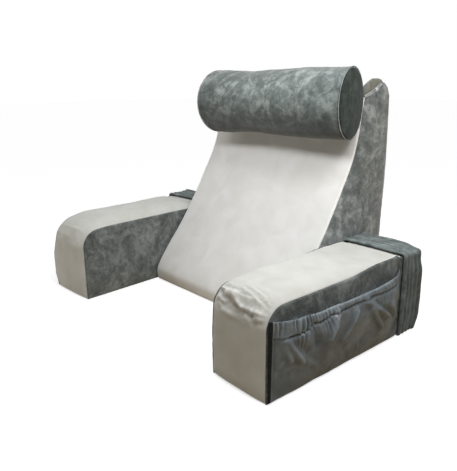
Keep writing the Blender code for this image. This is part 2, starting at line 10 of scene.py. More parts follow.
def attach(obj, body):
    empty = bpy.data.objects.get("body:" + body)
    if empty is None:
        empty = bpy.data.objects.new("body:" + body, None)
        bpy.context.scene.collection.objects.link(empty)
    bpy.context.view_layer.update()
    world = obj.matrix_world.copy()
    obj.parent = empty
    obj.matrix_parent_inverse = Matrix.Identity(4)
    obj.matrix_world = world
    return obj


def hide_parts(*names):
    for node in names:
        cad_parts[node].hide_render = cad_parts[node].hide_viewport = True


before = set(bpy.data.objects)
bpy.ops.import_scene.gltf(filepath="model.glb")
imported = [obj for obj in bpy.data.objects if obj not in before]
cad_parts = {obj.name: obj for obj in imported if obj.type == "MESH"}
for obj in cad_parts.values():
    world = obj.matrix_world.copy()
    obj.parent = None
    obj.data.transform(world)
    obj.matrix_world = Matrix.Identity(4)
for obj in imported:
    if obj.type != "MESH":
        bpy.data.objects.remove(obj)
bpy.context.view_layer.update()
print("frame loaded")


# Camera: level with the wedge's top, in front of the right arm and turned a little down
view = {
    "place": (0.8480, -0.8800, 0.4821),
    "yaw": math.radians(47.81),
    "pitch": math.radians(16.20),
    "roll": math.radians(-0.39),
    "focalPixels": 530.88,
    "longSidePixels": 471,
    "sensor": 36.0,
}


def makeCamera():
    lens = bpy.data.cameras.new("camera")
    lens.sensor_width = view["sensor"]
    lens.lens = view["focalPixels"] / view["longSidePixels"] * view["sensor"]
    lens.clip_start = 0.01
    camera = bpy.data.objects.new("camera", lens)
    level = math.cos(view["pitch"])
    aside = Vector((math.cos(view["yaw"]), math.sin(view["yaw"]), 0.0))
    ahead = Vector((-aside.y * level, aside.x * level, -math.sin(view["pitch"])))
    upward = aside.cross(ahead)
    turn, lean = math.cos(view["roll"]), math.sin(view["roll"])
    right = turn * aside + lean * upward
    top = turn * upward - lean * aside
    facing = Matrix((right, top, -ahead)).transposed().to_4x4()
    camera.matrix_world = Matrix.Translation(view["place"]) @ facing
    bpy.context.scene.collection.objects.link(camera)
    bpy.context.scene.camera = camera


makeCamera()


# Colours and shader nodes

def linearColour(hexCode):
    channels = []
    for start in (1, 3, 5):
        value = int(hexCode[start:start + 2], 16) / 255
        channels.append(value / 12.92 if value <= 0.04045 else ((value + 0.055) / 1.055) ** 2.4)
    return (*channels, 1.0)


def addNode(tree, kind, inputs=None, settings=None, stops=None, output=0):
    # each input is a value, a hex colour or another node's output; one output comes back
    node = tree.nodes.new(kind)
    for name, value in (settings or {}).items():
        setattr(node, name, value)
    for socket, value in (inputs or {}).items():
        if isinstance(value, bpy.types.NodeSocket):
            tree.links.new(value, node.inputs[socket])
        else:
            node.inputs[socket].default_value = linearColour(value) if isinstance(value, str) else value
    if stops:
        ramp = node.color_ramp
        while len(ramp.elements) < len(stops):
            ramp.elements.new(0.5)
        for element, (position, colour) in zip(ramp.elements, stops):
            element.position = position
            element.color = linearColour(colour) if isinstance(colour, str) else (colour, colour, colour, 1.0)
    return node.outputs[output] if node.outputs else None


def emptyTree(owner):
    owner.use_nodes = True
    owner.node_tree.nodes.clear()
    return owner.node_tree


def startMaterial(name):
    material = bpy.data.materials.new(name)
    tree = emptyTree(material)
    return material, tree, addNode(tree, "ShaderNodeTexCoord", output="Object")


def closeMaterial(tree, finish):
    shader = addNode(tree, "ShaderNodeBsdfPrincipled", finish)
    addNode(tree, "ShaderNodeOutputMaterial", {"Surface": shader})


def perMetre(millimetres):
    # a pattern's scale from the real size of its patches, as places are in metres
    return 1000.0 / millimetres


def shadedBy(tree, colour, measure, span, shares):
    # multiplies a colour by a share that follows a measure of the surface
    share = addNode(tree, "ShaderNodeMapRange", {
        "Value": measure, "From Min": span[0], "From Max": span[1], "To Min": shares[0], "To Max": shares[1]})
    return addNode(tree, "ShaderNodeMix", {0: 1.0, 6: colour, 7: share},
                   {"data_type": "RGBA", "blend_type": "MULTIPLY"}, output=2)


def paintedShadeBelow(tree, colour, under):
    # painted shade: faces are darkened the more they turn to the floor, down to the share under
    facing = addNode(tree, "ShaderNodeNewGeometry", output="Normal")
    level = addNode(tree, "ShaderNodeSeparateXYZ", {"Vector": facing}, output="Z")
    return shadedBy(tree, colour, level, (-0.65, 0.85), (under, 1.0))


def foldShadeAndRidgeHighlight(tree, colour, inFolds, onRidges):
    # painted shade: cloth is darkened down in its folds; painted highlight: it is lightened along its ridges
    bend = addNode(tree, "ShaderNodeNewGeometry", output="Pointiness")
    return shadedBy(tree, colour, bend, (0.455, 0.545), (inFolds, onRidges))


# Short pile velvet, knitted and sheared: pale, dead matt, with the nap brushed into faint clouds
def shearedVelvet(name, dark, middle, light, worn):
    material, tree, place = startMaterial(name)
    clouds = addNode(tree, "ShaderNodeTexNoise", {
        "Vector": place, "Scale": perMetre(45), "Detail": 3.0, "Roughness": 0.5, "Distortion": 0.6})
    touches = addNode(tree, "ShaderNodeTexNoise", {
        "Vector": place, "Scale": perMetre(110), "Detail": 2.0, "Roughness": 0.4, "Distortion": 0.4})
    cream = addNode(tree, "ShaderNodeValToRGB", {"Fac": clouds},
                    stops=[(0.32, dark), (0.55, middle), (0.75, light)])
    handled = addNode(tree, "ShaderNodeValToRGB", {"Fac": touches}, stops=[(0.56, 0.0), (0.72, 0.45)])
    colour = addNode(tree, "ShaderNodeMix", {0: handled, 6: cream, 7: worn}, {"data_type": "RGBA"}, output=2)
    brushed = addNode(tree, "ShaderNodeTexNoise", {
        "Vector": place, "Scale": perMetre(18), "Detail": 2.0, "Roughness": 0.55})
    tips = addNode(tree, "ShaderNodeTexNoise", {  # 0.5 mm pile, drawn at 1.4 mm to show
        "Vector": place, "Scale": perMetre(1.4), "Detail": 2.0, "Roughness": 0.55})
    nap = addNode(tree, "ShaderNodeBump", {"Height": brushed, "Strength": 0.25, "Distance": 0.0012})
    pile = addNode(tree, "ShaderNodeBump", {
        "Height": tips, "Strength": 0.30, "Distance": 0.0004, "Normal": nap})
    # the base colour gets painted shade in the folds and a painted highlight on the ridges
    closeMaterial(tree, {
        "Base Color": foldShadeAndRidgeHighlight(tree, colour, 0.78, 1.22), "Roughness": 0.95, "Specular IOR Level": 0.15,
        "Sheen Weight": 0.12, "Sheen Roughness": 0.6, "Normal": pile})
    return material


# Crushed plush, a warp knit whose long pile lies in many directions: mottled light and dark with a soft sheen
def crushedPlush(name, dark, middle, light, under=1.0, sheen=0.35):
    material, tree, place = startMaterial(name)
    broad = addNode(tree, "ShaderNodeTexNoise", {
        "Vector": place, "Scale": perMetre(46), "Detail": 4.0, "Roughness": 0.6, "Distortion": 1.2})
    small = addNode(tree, "ShaderNodeTexNoise", {
        "Vector": place, "Scale": perMetre(13), "Detail": 4.0, "Roughness": 0.65, "Distortion": 0.9})
    flat = addNode(tree, "ShaderNodeTexNoise", {
        "Vector": place, "Scale": perMetre(34), "Detail": 2.0, "Roughness": 0.5, "Distortion": 0.8})
    tips = addNode(tree, "ShaderNodeTexNoise", {  # pile tips, 1 mm apart on the cloth, drawn at 2 mm to show
        "Vector": place, "Scale": perMetre(2.2), "Detail": 3.0, "Roughness": 0.7})
    lying = addNode(tree, "ShaderNodeMix", {0: 0.40, 6: broad, 7: small}, {"data_type": "RGBA"}, output=2)
    tones = addNode(tree, "ShaderNodeValToRGB", {"Fac": lying},
                    stops=[(0.36, dark), (0.49, middle), (0.63, light)])
    crushed = addNode(tree, "ShaderNodeValToRGB", {"Fac": flat}, stops=[(0.60, 0.0), (0.67, 0.55)])
    colour = addNode(tree, "ShaderNodeMix", {0: crushed, 6: tones, 7: dark}, {"data_type": "RGBA"}, output=2)
    speckle = addNode(tree, "ShaderNodeValToRGB", {"Fac": tips}, stops=[(0.35, "#8c8c8c"), (0.65, "#b8b8b8")])
    colour = addNode(tree, "ShaderNodeMix", {0: 0.45, 6: colour, 7: speckle},
                     {"data_type": "RGBA", "blend_type": "OVERLAY"}, output=2)
    lay = addNode(tree, "ShaderNodeBump", {"Height": lying, "Strength": 0.35, "Distance": 0.0030})
    pile = addNode(tree, "ShaderNodeBump", {
        "Height": tips, "Strength": 0.45, "Distance": 0.0008, "Normal": lay})
    # painted shade: faces turned down are darkened by the share under, and not at all when under is 1.0
    closeMaterial(tree, {
        "Base Color": paintedShadeBelow(tree, colour, under), "Roughness": 0.9, "Specular IOR Level": 0.2,
        "Sheen Weight": sheen, "Sheen Roughness": 0.45, "Normal": pile})
    return material


# Nylon taffeta, plain woven from bright filament: dark with satin lights on every fold, with painted shade in
# the folds and a painted highlight on the ridges
def nylonTaffeta():
    material, tree, place = startMaterial("nylon_taffeta_grey")
    worn = addNode(tree, "ShaderNodeTexNoise", {
        "Vector": place, "Scale": perMetre(40), "Detail": 3.0, "Roughness": 0.6, "Distortion": 0.4})
    crumpled = addNode(tree, "ShaderNodeTexNoise", {
        "Vector": place, "Scale": perMetre(16), "Detail": 4.0, "Roughness": 0.6, "Distortion": 0.8})
    colour = addNode(tree, "ShaderNodeValToRGB", {"Fac": worn},
                     stops=[(0.3, "#4b5257"), (0.5, "#5a6267"), (0.72, "#6f777c")])
    bandScale = perMetre(1.2) * math.tau / 20.0  # 0.3 mm threads, drawn four times as coarse to show
    warp, weft = (addNode(tree, "ShaderNodeTexWave", {"Vector": place, "Scale": bandScale},
                          {"bands_direction": axis}, output="Fac") for axis in "YZ")
    weave = addNode(tree, "ShaderNodeMix", {0: 0.5, 6: warp, 7: weft}, {"data_type": "RGBA"}, output=2)
    crumple = addNode(tree, "ShaderNodeBump", {"Height": crumpled, "Strength": 0.55, "Distance": 0.0030})
    woven = addNode(tree, "ShaderNodeBump", {
        "Height": weave, "Strength": 0.25, "Distance": 0.0001, "Normal": crumple})
    # the base colour gets painted shade in the folds and a painted highlight on the ridges
    closeMaterial(tree, {"Base Color": foldShadeAndRidgeHighlight(tree, colour, 0.40, 1.75), "Roughness": 0.36,
                         "Specular IOR Level": 0.70, "Normal": woven})
    return material


# A near black, matt strip along the pocket's front seam: painted shade for the shadow in the seam's gap
def seamShadowMaterial():
    material, tree, place = startMaterial("black_painted_seam_shadow")
    worn = addNode(tree, "ShaderNodeTexNoise", {
        "Vector": place, "Scale": perMetre(9), "Detail": 3.0, "Roughness": 0.55})
    colour = addNode(tree, "ShaderNodeValToRGB", {"Fac": worn}, stops=[(0.35, "#17191a"), (0.65, "#25282a")])
    woven = addNode(tree, "ShaderNodeBump", {"Height": worn, "Strength": 0.3, "Distance": 0.0004})
    closeMaterial(tree, {"Base Color": colour, "Roughness": 0.85, "Specular IOR Level": 0.2, "Normal": woven})
    return material


# Ribbed elastic plush, knitted round rubber threads: dark, with fine cords running round the loop
def ribbedPlush():
    material, tree, place = startMaterial("ribbed_plush_grey")
    worn = addNode(tree, "ShaderNodeTexNoise", {
        "Vector": place, "Scale": perMetre(24), "Detail": 3.0, "Roughness": 0.6, "Distortion": 0.8})
    tips = addNode(tree, "ShaderNodeTexNoise", {  # 1 mm pile, drawn at 1.8 mm to show
        "Vector": place, "Scale": perMetre(1.8), "Detail": 3.0, "Roughness": 0.55})
    colour = addNode(tree, "ShaderNodeValToRGB", {"Fac": worn},
                     stops=[(0.32, "#636d6c"), (0.5, "#7a8483"), (0.7, "#97a19f")])
    cords = addNode(tree, "ShaderNodeTexWave", {  # cords 2.8 mm apart
        "Vector": place, "Scale": perMetre(2.8) * math.tau / 20.0, "Distortion": 1.2, "Detail": 2.0,
    }, {"bands_direction": "Y"}, output="Fac")
    ribs = addNode(tree, "ShaderNodeBump", {"Height": cords, "Strength": 0.55, "Distance": 0.0007})
    pile = addNode(tree, "ShaderNodeBump", {
        "Height": tips, "Strength": 0.40, "Distance": 0.0005, "Normal": ribs})
    # painted shade on faces turned down and in the folds, and a painted highlight on the ridges
    closeMaterial(tree, {
        "Base Color": foldShadeAndRidgeHighlight(tree, paintedShadeBelow(tree, colour, 0.14), 0.40, 1.40), "Roughness": 0.85,
        "Specular IOR Level": 0.2, "Sheen Weight": 0.12, "Sheen Roughness": 0.5, "Normal": pile})
    return material


# Die cast zinc, nickel plated and polished: bright with small scuffs
def platedZinc():
    material, tree, place = startMaterial("nickel_plated_zinc")
    scuffs = addNode(tree, "ShaderNodeTexNoise", {
        "Vector": place, "Scale": perMetre(2.5), "Detail": 4.0, "Roughness": 0.55})
    colour = addNode(tree, "ShaderNodeValToRGB", {"Fac": scuffs},
                     stops=[(0.35, "#dde0e2"), (0.65, "#f7f9fa")])
    scuffed = addNode(tree, "ShaderNodeBump", {"Height": scuffs, "Strength": 0.2, "Distance": 0.0001})
    # only partly metallic, because down in the cloth's groove full metal would mirror the dark plush
    closeMaterial(tree, {"Base Color": colour, "Roughness": 0.42, "Metallic": 0.35, "Normal": scuffed})
    return material


materials = {
    "velvet": shearedVelvet("sheared_velvet_cream", "#cbcbc5", "#d2d2cd", "#d6d6d2", "#c1c1b6"),
    # the front panel's copy of the velvet, toned lighter to match the light on it: painted light
    "velvetPaintedLighter": shearedVelvet(
        "sheared_velvet_cream_painted_lighter", "#e4e4e1", "#eaeae8", "#eeeeed", "#dcdcd3"),
    "plush": crushedPlush("crushed_plush_grey", "#626867", "#898e8c", "#bcc0be"),
    # the arms' copies of the plush, toned darker to match the shade on their sides: painted shade
    "plushArmPaintedDarker": crushedPlush("crushed_plush_grey_arms_painted_darker", "#474c4b", "#616665", "#858a88", sheen=0.20),
    "plushFarArmPaintedDarker": crushedPlush("crushed_plush_grey_far_arm_painted_darker", "#555b5a", "#747978", "#969b99", sheen=0.30),
    # the bolster's copy of the plush, toned darker and darkened further on faces turned down: painted shade
    "plushRollPaintedShade": crushedPlush(
        "crushed_plush_grey_roll_painted_shade", "#545b5a", "#757f7d", "#a8b1ae", under=0.25),
    # the bolster ends' copy of the plush, toned much darker and with less sheen: painted shade
    "plushInShade": crushedPlush(
        "crushed_plush_grey_ends_painted_shade", "#2f3835", "#3b4542", "#515d58", sheen=0.10),
    # the zip cap's copy of the plush, toned warmer to match the light on it: painted light
    "plushCapPaintedTone": crushedPlush("crushed_plush_cap_painted_tone", "#7c7b6f", "#8d8c80", "#a09f94"),
    "nylon": nylonTaffeta(),
    "ribbed": ribbedPlush(),
    "seamShadowStrip": seamShadowMaterial(),
    "metal": platedZinc(),
}
print("materials made")


# Shapes start as a block cut into cells, whose points a maker's rule then moves into place

def cellBlock(cellsA, cellsB, cellsC):
    mesh = bmesh.new()
    bmesh.ops.create_cube(mesh, size=1.0)
    bmesh.ops.translate(mesh, verts=mesh.verts, vec=(0.5, 0.5, 0.5))
    for axis, cells in enumerate((cellsA, cellsB, cellsC)):
        whole = [edge for edge in mesh.edges
                 if abs(edge.verts[0].co[axis] - edge.verts[1].co[axis]) > 0.5]
        if cells > 1:
            bmesh.ops.subdivide_edges(mesh, edges=whole, cuts=cells - 1, use_grid_fill=True)
    return mesh


def moved(mesh, place):
    for vertex in mesh.verts:
        vertex.co = place(*vertex.co)
    return mesh


def flatBulge(share, power=4):
    return 1.0 - abs(2.0 * share - 1.0) ** power


def smoothStep(value, low, high):
    share = min(max((value - low) / (high - low), 0.0), 1.0)
    return share * share * (3.0 - 2.0 * share)


def denseEnds(share, gather=0.7):
    # draws the cells closer together towards both borders
    return share - gather * math.sin(math.tau * share) / math.tau


def edgeRoll(gap, radius):
    # how far a cloth's face drops where it turns in to its seam
    reach = radius - min(max(gap, 0.0), radius)
    return radius - math.sqrt(radius * radius - reach * reach)


def ripple(size, seed, *place):
    spot = Vector((*place, 0.0, 0.0)[:3]) / size
    return noise.noise(spot + Vector((seed, seed * 1.7, seed * 0.6)))


def waves(rows, *place):
    # soft unevenness of filling and cloth: height, size and seed of each wave
    return sum(height * ripple(size, seed, *place) for height, size, seed in rows)


def pucker(row, gap, *place):
    # small gathers along a seam: height, size, seed and how far they reach from it
    height, size, seed, reach = row
    return height * ripple(size, seed, *place) * math.exp(-gap / reach)


def ridges(rows, first, second):
    # soft folds: from one point of the cloth to another, height and width
    total = 0.0
    for (startA, startB), (endA, endB), height, width in rows:
        run, drop = endA - startA, endB - startB
        share = ((first - startA) * run + (second - startB) * drop) / (run * run + drop * drop)
        share = min(max(share, 0.0), 1.0)
        away = math.hypot(first - startA - share * run, second - startB - share * drop)
        total += height * math.exp(-(away / width) ** 2)
    return total


def rowValue(rows, place, column):
    # reads a column between two rows, in soft steps; each row starts with its place
    for low, high in zip(rows, rows[1:]):
        if place <= high[0]:
            return low[column] + smoothStep(place, low[0], high[0]) * (high[column] - low[column])
    return rows[-1][column]


def finishPiece(mesh, name, material, nodes=(), levels=0):
    bmesh.ops.recalc_face_normals(mesh, faces=mesh.faces)
    if mesh.calc_volume(signed=True) < 0.0:
        bmesh.ops.reverse_faces(mesh, faces=mesh.faces)
    data = bpy.data.meshes.new(name)
    mesh.to_mesh(data)
    mesh.free()
    data.shade_smooth()
    data.set_sharp_from_angle(angle=math.radians(55))
    data.materials.append(materials[material])
    piece = bpy.data.objects.new(name, data)
    bpy.context.scene.collection.objects.link(piece)
    if levels:
        soften = piece.modifiers.new("soften", "SUBSURF")
        soften.levels = levels
        soften.render_levels = levels
    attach(piece, "root")
    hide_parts(*nodes)
    return piece


cloth = {"touch": 0.0004, "plush": 0.003, "nylon": 0.0012}
skin = cloth["touch"] + cloth["plush"]


# Wedge back: a filled core, a light front panel and a plush panel on each side

wedge = {
    "half": 0.215, "top": 0.486, "panelTop": 0.449,
    "frontCrown": 0.005, "rearCrown": 0.006,
    "sideCrown": {"Left": 0.0065, "Right": 0.0115},
    "seamRoll": 0.0026, "panelLap": 0.002, "leanReach": 0.006, "coreGather": 0.4,
    "rearWaves": ((0.0016, 0.085, 5.0),),
    "panelWaves": ((0.0010, 0.100, 3.0), (0.0004, 0.035, 4.0)), "panelPucker": (0.0008, 0.011, 2.0, 0.012),
    "sideWaves": ((0.0012, 0.060, 7.0), (0.0006, 0.022, 8.0)), "sidePucker": (0.0009, 0.010, 9.0, 0.010),
    "panelSmoothEdge": 0.04, "sideSmoothEdge": 0.03,
    "dentFrom": (0.080, 0.120), "dentTo": (0.178, 0.2116), "dentHeight": (0.400, 0.486), "dent": 0.026,
    "coreCells": (56, 40, 84), "panelCells": (110, 130), "sideCells": (64, 110),
}

# The side outline from the floor up, and where its front and rear stand at each height
wedgeSections = [dict(zip(("height", "front", "rear"), row)) for row in (
    (0.000, -0.157, 0.156), (0.010, -0.1615, 0.160), (0.035, -0.159, 0.161),
    (0.082, -0.126, 0.161), (0.143, -0.076, 0.160), (0.204, -0.034, 0.161),
    (0.266, 0.004, 0.163), (0.322, 0.035, 0.163), (0.375, 0.0515, 0.160),
    (0.425, 0.060, 0.159), (0.450, 0.065, 0.158), (0.4555, 0.067, 0.156),
    (0.468, 0.073, 0.149), (0.480, 0.085, 0.133), (0.486, 0.098, 0.116),
)]


def wedgeSlope(index, side):
    # the outline's slope at a row, from its neighbours
    rows = wedgeSections
    low, high = rows[max(index - 1, 0)], rows[min(index + 1, len(rows) - 1)]
    return (high[side] - low[side]) / (high["height"] - low["height"])


def wedgeOutline(height, side):
    rows = wedgeSections
    height = min(max(height, 0.0), wedge["top"])
    for index in range(len(rows) - 1):
        low, high = rows[index], rows[index + 1]
        if height <= high["height"] or index == len(rows) - 2:
            span = high["height"] - low["height"]
            share = (height - low["height"]) / span
            square, cube = share * share, share ** 3
            return ((2 * cube - 3 * square + 1) * low[side] + (3 * square - 2 * cube) * high[side]
                    + (cube - 2 * square + share) * span * wedgeSlope(index, side)
                    + (cube - square) * span * wedgeSlope(index + 1, side))


def wedgeLean(height):
    low, high = max(height - wedge["leanReach"], 0.0), min(height + wedge["leanReach"], wedge["panelTop"])
    slope = (wedgeOutline(high, "front") - wedgeOutline(low, "front")) / (high - low)
    return math.sqrt(1.0 + slope * slope)


def wedgeRise(height):
    return flatBulge(height / wedge["top"], 6)


def wedgeFront(across, height):
    span = min(abs(across) / wedge["half"], 1.0)
    return wedgeOutline(height, "front") - wedge["frontCrown"] * (1.0 - span ** 4) * wedgeRise(height)


def wedgeRear(across, height):
    span = min(abs(across) / wedge["half"], 1.0)
    full = wedge["rearCrown"] * (1.0 - span ** 4) + waves(wedge["rearWaves"], across, height)
    return wedgeOutline(height, "rear") + full * wedgeRise(height)


def wedgeCoreFront(across, height):
    if height > wedge["panelTop"] + wedge["panelLap"]:
        return wedgeFront(across, height)
    return wedgeFront(across, height) + skin * wedgeLean(height)


def wedgeSide(hand, rear, height):
    front = wedgeCoreFront(wedge["half"], height)
    share = (rear - front) / (wedgeOutline(height, "rear") - front)
    share = min(max(share, 0.0), 1.0)
    crown = wedge["sideCrown"][hand] * flatBulge(share) * wedgeRise(height)
    return wedge["half"] - skin + crown


def wedgeDent(across, height):
    # the top sinks between the bolster and the fuller right edge that carries the zip
    window = smoothStep(across, *wedge["dentFrom"]) * (1.0 - smoothStep(across, *wedge["dentTo"]))
    return wedge["dent"] * window * smoothStep(height, *wedge["dentHeight"])


def buildWedgeCore():
    limit = wedge["half"] - skin

    def place(shareAcross, shareDeep, shareUp):
        level = denseEnds(shareUp) * wedge["top"]
        across = (2.0 * denseEnds(shareAcross, wedge["coreGather"]) - 1.0) * limit
        front = wedgeCoreFront(across, level)
        rear = front + denseEnds(shareDeep, wedge["coreGather"]) * (wedgeRear(across, level) - front)
        dent = wedgeDent(across, level)
        hand = "Right" if across > 0.0 else "Left"
        sideways = min(max(shareAcross, 0.0), 1.0)
        if sideways in (0.0, 1.0):
            across = math.copysign(wedgeSide(hand, rear, level), across)
        gap = min(shareAcross, 1.0 - shareAcross) * 2.0 * limit
        if shareDeep > 0.999:
            rear -= edgeRoll(gap, wedge["seamRoll"])
        return across, rear, level - dent

    block = moved(cellBlock(*wedge["coreCells"]), place)
    piece = finishPiece(block, "wedgeCore", "plush", ["back_body"])


def buildFrontPanel():
    def place(shareAcross, shareThick, shareUp):
        level = denseEnds(shareUp, 0.5) * wedge["panelTop"]
        across = (2.0 * denseEnds(shareAcross) - 1.0) * wedge["half"]
        lean = wedgeLean(level)
        gap = min(wedge["half"] - abs(across), level * lean)
        sunk = edgeRoll(gap, wedge["seamRoll"]) + pucker(wedge["panelPucker"], gap, level, across * 0.2)
        soft = waves(wedge["panelWaves"], across, level) * smoothStep(gap, 0.0, wedge["panelSmoothEdge"])
        proud = (1.0 - shareThick) * sunk * lean - soft
        rear = wedgeFront(across, level) + shareThick * cloth["plush"] * lean + proud
        return across, rear, level - wedgeDent(across, level)

    acrossCells, upCells = wedge["panelCells"]
    block = moved(cellBlock(acrossCells, 1, upCells), place)
    piece = finishPiece(block, "wedgeFrontPanel", "velvetPaintedLighter", ["back_front_panel"])


shoulderCreases = [((0.104, 0.4585), (0.136, 0.4510), -0.0022, 0.0032)]


def sidePanelBlock(hand):
    sign = 1 if hand == "Right" else -1
    deepCells, upCells = wedge["sideCells"]

    def place(shareThick, shareDeep, shareUp):
        level = denseEnds(shareUp, 0.5) * wedge["top"]
        front = wedgeCoreFront(wedge["half"], level)
        rearmost = wedgeOutline(level, "rear")
        rear = front + denseEnds(shareDeep, 0.6) * (rearmost - front)
        gap = min(rear - front, rearmost - rear, level, wedge["top"] - level)
        inside = smoothStep(gap, 0.0, wedge["sideSmoothEdge"])
        soft = waves(wedge["sideWaves"], rear, level)
        gathers = pucker(wedge["sidePucker"], gap, rear, level)
        proud = shareThick * (cloth["plush"] - edgeRoll(gap, wedge["seamRoll"]) + gathers)
        if hand == "Right":
            proud += shareThick * ridges(shoulderCreases, rear, level) * inside
        across = wedgeSide(hand, rear, level) + cloth["touch"] + proud + soft * inside
        return sign * across, rear, level

    return moved(cellBlock(1, deepCells, upCells), place)


# Zip in the right side panel, from the front seam up over the shoulder

zipper = {
    "startRear": 0.0531, "startHeight": 0.4444, "endRear": 0.1247, "endHeight": 0.4766,
    "opening": 0.0074, "lipRoll": 0.0016, "lipCuts": (0.0005, 0.0012, 0.0024),
}
zipDeep, zipRise = zipper["endRear"] - zipper["startRear"], zipper["endHeight"] - zipper["startHeight"]
zipper["length"] = math.hypot(zipDeep, zipRise)
zipper["deep"], zipper["rise"] = zipDeep / zipper["length"], zipRise / zipper["length"]


def zipPoint(run, aside, lift):
    rear = zipper["startRear"] + run * zipper["deep"] - aside * zipper["rise"]
    height = zipper["startHeight"] + run * zipper["rise"] + aside * zipper["deep"]
    return wedgeSide("Right", rear, height) + lift, rear, height


def zipAside(rear, height):
    return ((height - zipper["startHeight"]) * zipper["deep"]
            - (rear - zipper["startRear"]) * zipper["rise"])


def cutAlongZip(mesh, direction):
    # cuts the panel beside the zip and rolls its turned edge down
    offset = direction * zipper["opening"] / 2

    def cutAt(distance, **clear):
        rear = zipper["startRear"] - distance * zipper["rise"]
        height = zipper["startHeight"] + distance * zipper["deep"]
        bmesh.ops.bisect_plane(
            mesh, geom=mesh.verts[:] + mesh.edges[:] + mesh.faces[:], dist=0.00001,
            plane_co=(0.0, rear, height), plane_no=(0.0, -zipper["rise"], zipper["deep"]), **clear)

    cutAt(offset, clear_inner=direction > 0, clear_outer=direction < 0)
    rim = [edge for edge in mesh.edges if edge.is_boundary]
    bmesh.ops.holes_fill(mesh, edges=rim, sides=0)
    for step in zipper["lipCuts"]:
        cutAt(offset + direction * step)
    bmesh.ops.triangulate(mesh, faces=[face for face in mesh.faces if len(face.verts) > 4])
    for vertex in mesh.verts:
        gap = abs(zipAside(vertex.co.y, vertex.co.z) - offset)
        above = vertex.co.x - wedgeSide("Right", vertex.co.y, vertex.co.z) - cloth["touch"]
        vertex.co.x -= edgeRoll(gap, zipper["lipRoll"]) * smoothStep(above, 0.0, cloth["plush"])


def buildSidePanels():
    left = finishPiece(sidePanelBlock("Left"), "wedgeSideLeft", "plush", ["back_side_left"])
    lower = sidePanelBlock("Right")
    cutAlongZip(lower, -1)
    right = finishPiece(lower, "wedgeSideRight", "plush", ["back_side_right"])
    upper = sidePanelBlock("Right")
    cutAlongZip(upper, 1)
    cap = finishPiece(upper, "wedgeSideRightTop", "plushCapPaintedTone", ["back_side_right_top"])


buildWedgeCore()
buildFrontPanel()
buildSidePanels()
print("wedge made")


# Zip hardware: woven tape, two rows of cast teeth, a slider and its ribbon pull

zipRow = {
    "startRun": 0.0155, "endMargin": 0.0035, "tapeSeat": 0.0007, "tape": 0.001,
    "teeth": 40, "toothLong": 0.0011, "toothInner": 0.0007, "toothWide": 0.0021, "toothThick": 0.0023,
    "toothTaper": 0.25, "toothClear": 0.0001, "sliderClear": 0.0008,
    "sliderPlace": 0.54, "sliderLong": 0.0090, "sliderWide": 0.0072, "sliderThick": 0.0026,
    "pullLong": 0.0105, "pullWide": 0.0042, "pullThick": 0.0013, "pullSeat": 0.0042, "pullWave": 0.0006,
}


def zipStrip(start, end, low, high, seat, thickness, cells):
    def place(shareThick, shareRun, shareAside):
        run = start + shareRun * (end - start)
        return zipPoint(run, low + shareAside * (high - low), seat + shareThick * thickness)
    return moved(cellBlock(1, cells, 4), place)


def buildZip():
    start, end = zipRow["startRun"], zipper["length"] - zipRow["endMargin"]
    half = zipper["opening"] / 2 - 2 * cloth["touch"]
    tape = zipStrip(start, end, -half, half, zipRow["tapeSeat"], zipRow["tape"], 60)
    finishPiece(tape, "zipTape", "nylon", ["zip_tape"])
    seat = zipRow["tapeSeat"] + zipRow["tape"] + zipRow["toothClear"]
    pitch = (end - start) / zipRow["teeth"]
    for name, direction in (("Upper", 1), ("Lower", -1)):
        row = bmesh.new()
        for number in range(zipRow["teeth"]):
            run = start + (number + (0.25 if direction > 0 else 0.75)) * pitch
            middle = direction * (zipRow["toothInner"] + zipRow["toothWide"] / 2)
            for vertex in bmesh.ops.create_cube(row, size=1.0)["verts"]:
                narrow = 1.0 - zipRow["toothTaper"] * (vertex.co.x + 0.5)
                vertex.co = zipPoint(run + vertex.co.y * zipRow["toothLong"] * narrow,
                                     middle + vertex.co.z * zipRow["toothWide"] * narrow,
                                     seat + (vertex.co.x + 0.5) * zipRow["toothThick"])
        finishPiece(row, "zipTeeth" + name, "metal", ["zip_teeth_" + name.lower()])
    buildSlider(start, end, seat + zipRow["toothThick"] + zipRow["sliderClear"])


def buildSlider(start, end, seat):
    middle = start + zipRow["sliderPlace"] * (end - start)
    halfLong, halfWide = zipRow["sliderLong"] / 2, zipRow["sliderWide"] / 2

    def placeSlider(shareThick, shareRun, shareAside):
        run = (2 * shareRun - 1) * halfLong
        narrow = 1.0 - 0.25 * shareRun - 0.15 * shareThick
        waist = 1.0 - 0.12 * math.sin(math.pi * shareRun)
        domed = 1.0 + 0.25 * flatBulge(shareRun, 2) * flatBulge(shareAside, 2)
        lift = seat + shareThick * zipRow["sliderThick"] * domed
        return zipPoint(middle + run, (2 * shareAside - 1) * halfWide * narrow * waist, lift)

    finishPiece(moved(cellBlock(2, 6, 6), placeSlider), "zipSlider", "metal", ["zip_slider"], 1)
    centre = zipPoint(middle, 0.0, seat)
    top = centre[2] - halfWide - halfLong * zipper["rise"] - 2 * cloth["touch"]

    def placePull(shareThick, shareWide, shareDown):
        width = zipRow["pullWide"] * (0.75 + 0.25 * math.sin(math.pi * shareDown))
        rear = centre[1] + (shareWide - 0.5) * width
        height = top - shareDown * zipRow["pullLong"]
        seatHere = zipRow["pullSeat"] + zipRow["pullWave"] * math.sin(7.0 * shareDown)
        return wedgeSide("Right", rear, height) + seatHere + shareThick * zipRow["pullThick"], rear, height

    finishPiece(moved(cellBlock(1, 4, 10), placePull), "zipPull", "nylon", ["zip_pull"], 1)


buildZip()
print("zip made")


# Arms: a filled block whose light strip runs over the front and top, with plush sides.
# A point is measured out from the arm's inner side, forward from its rear and up.

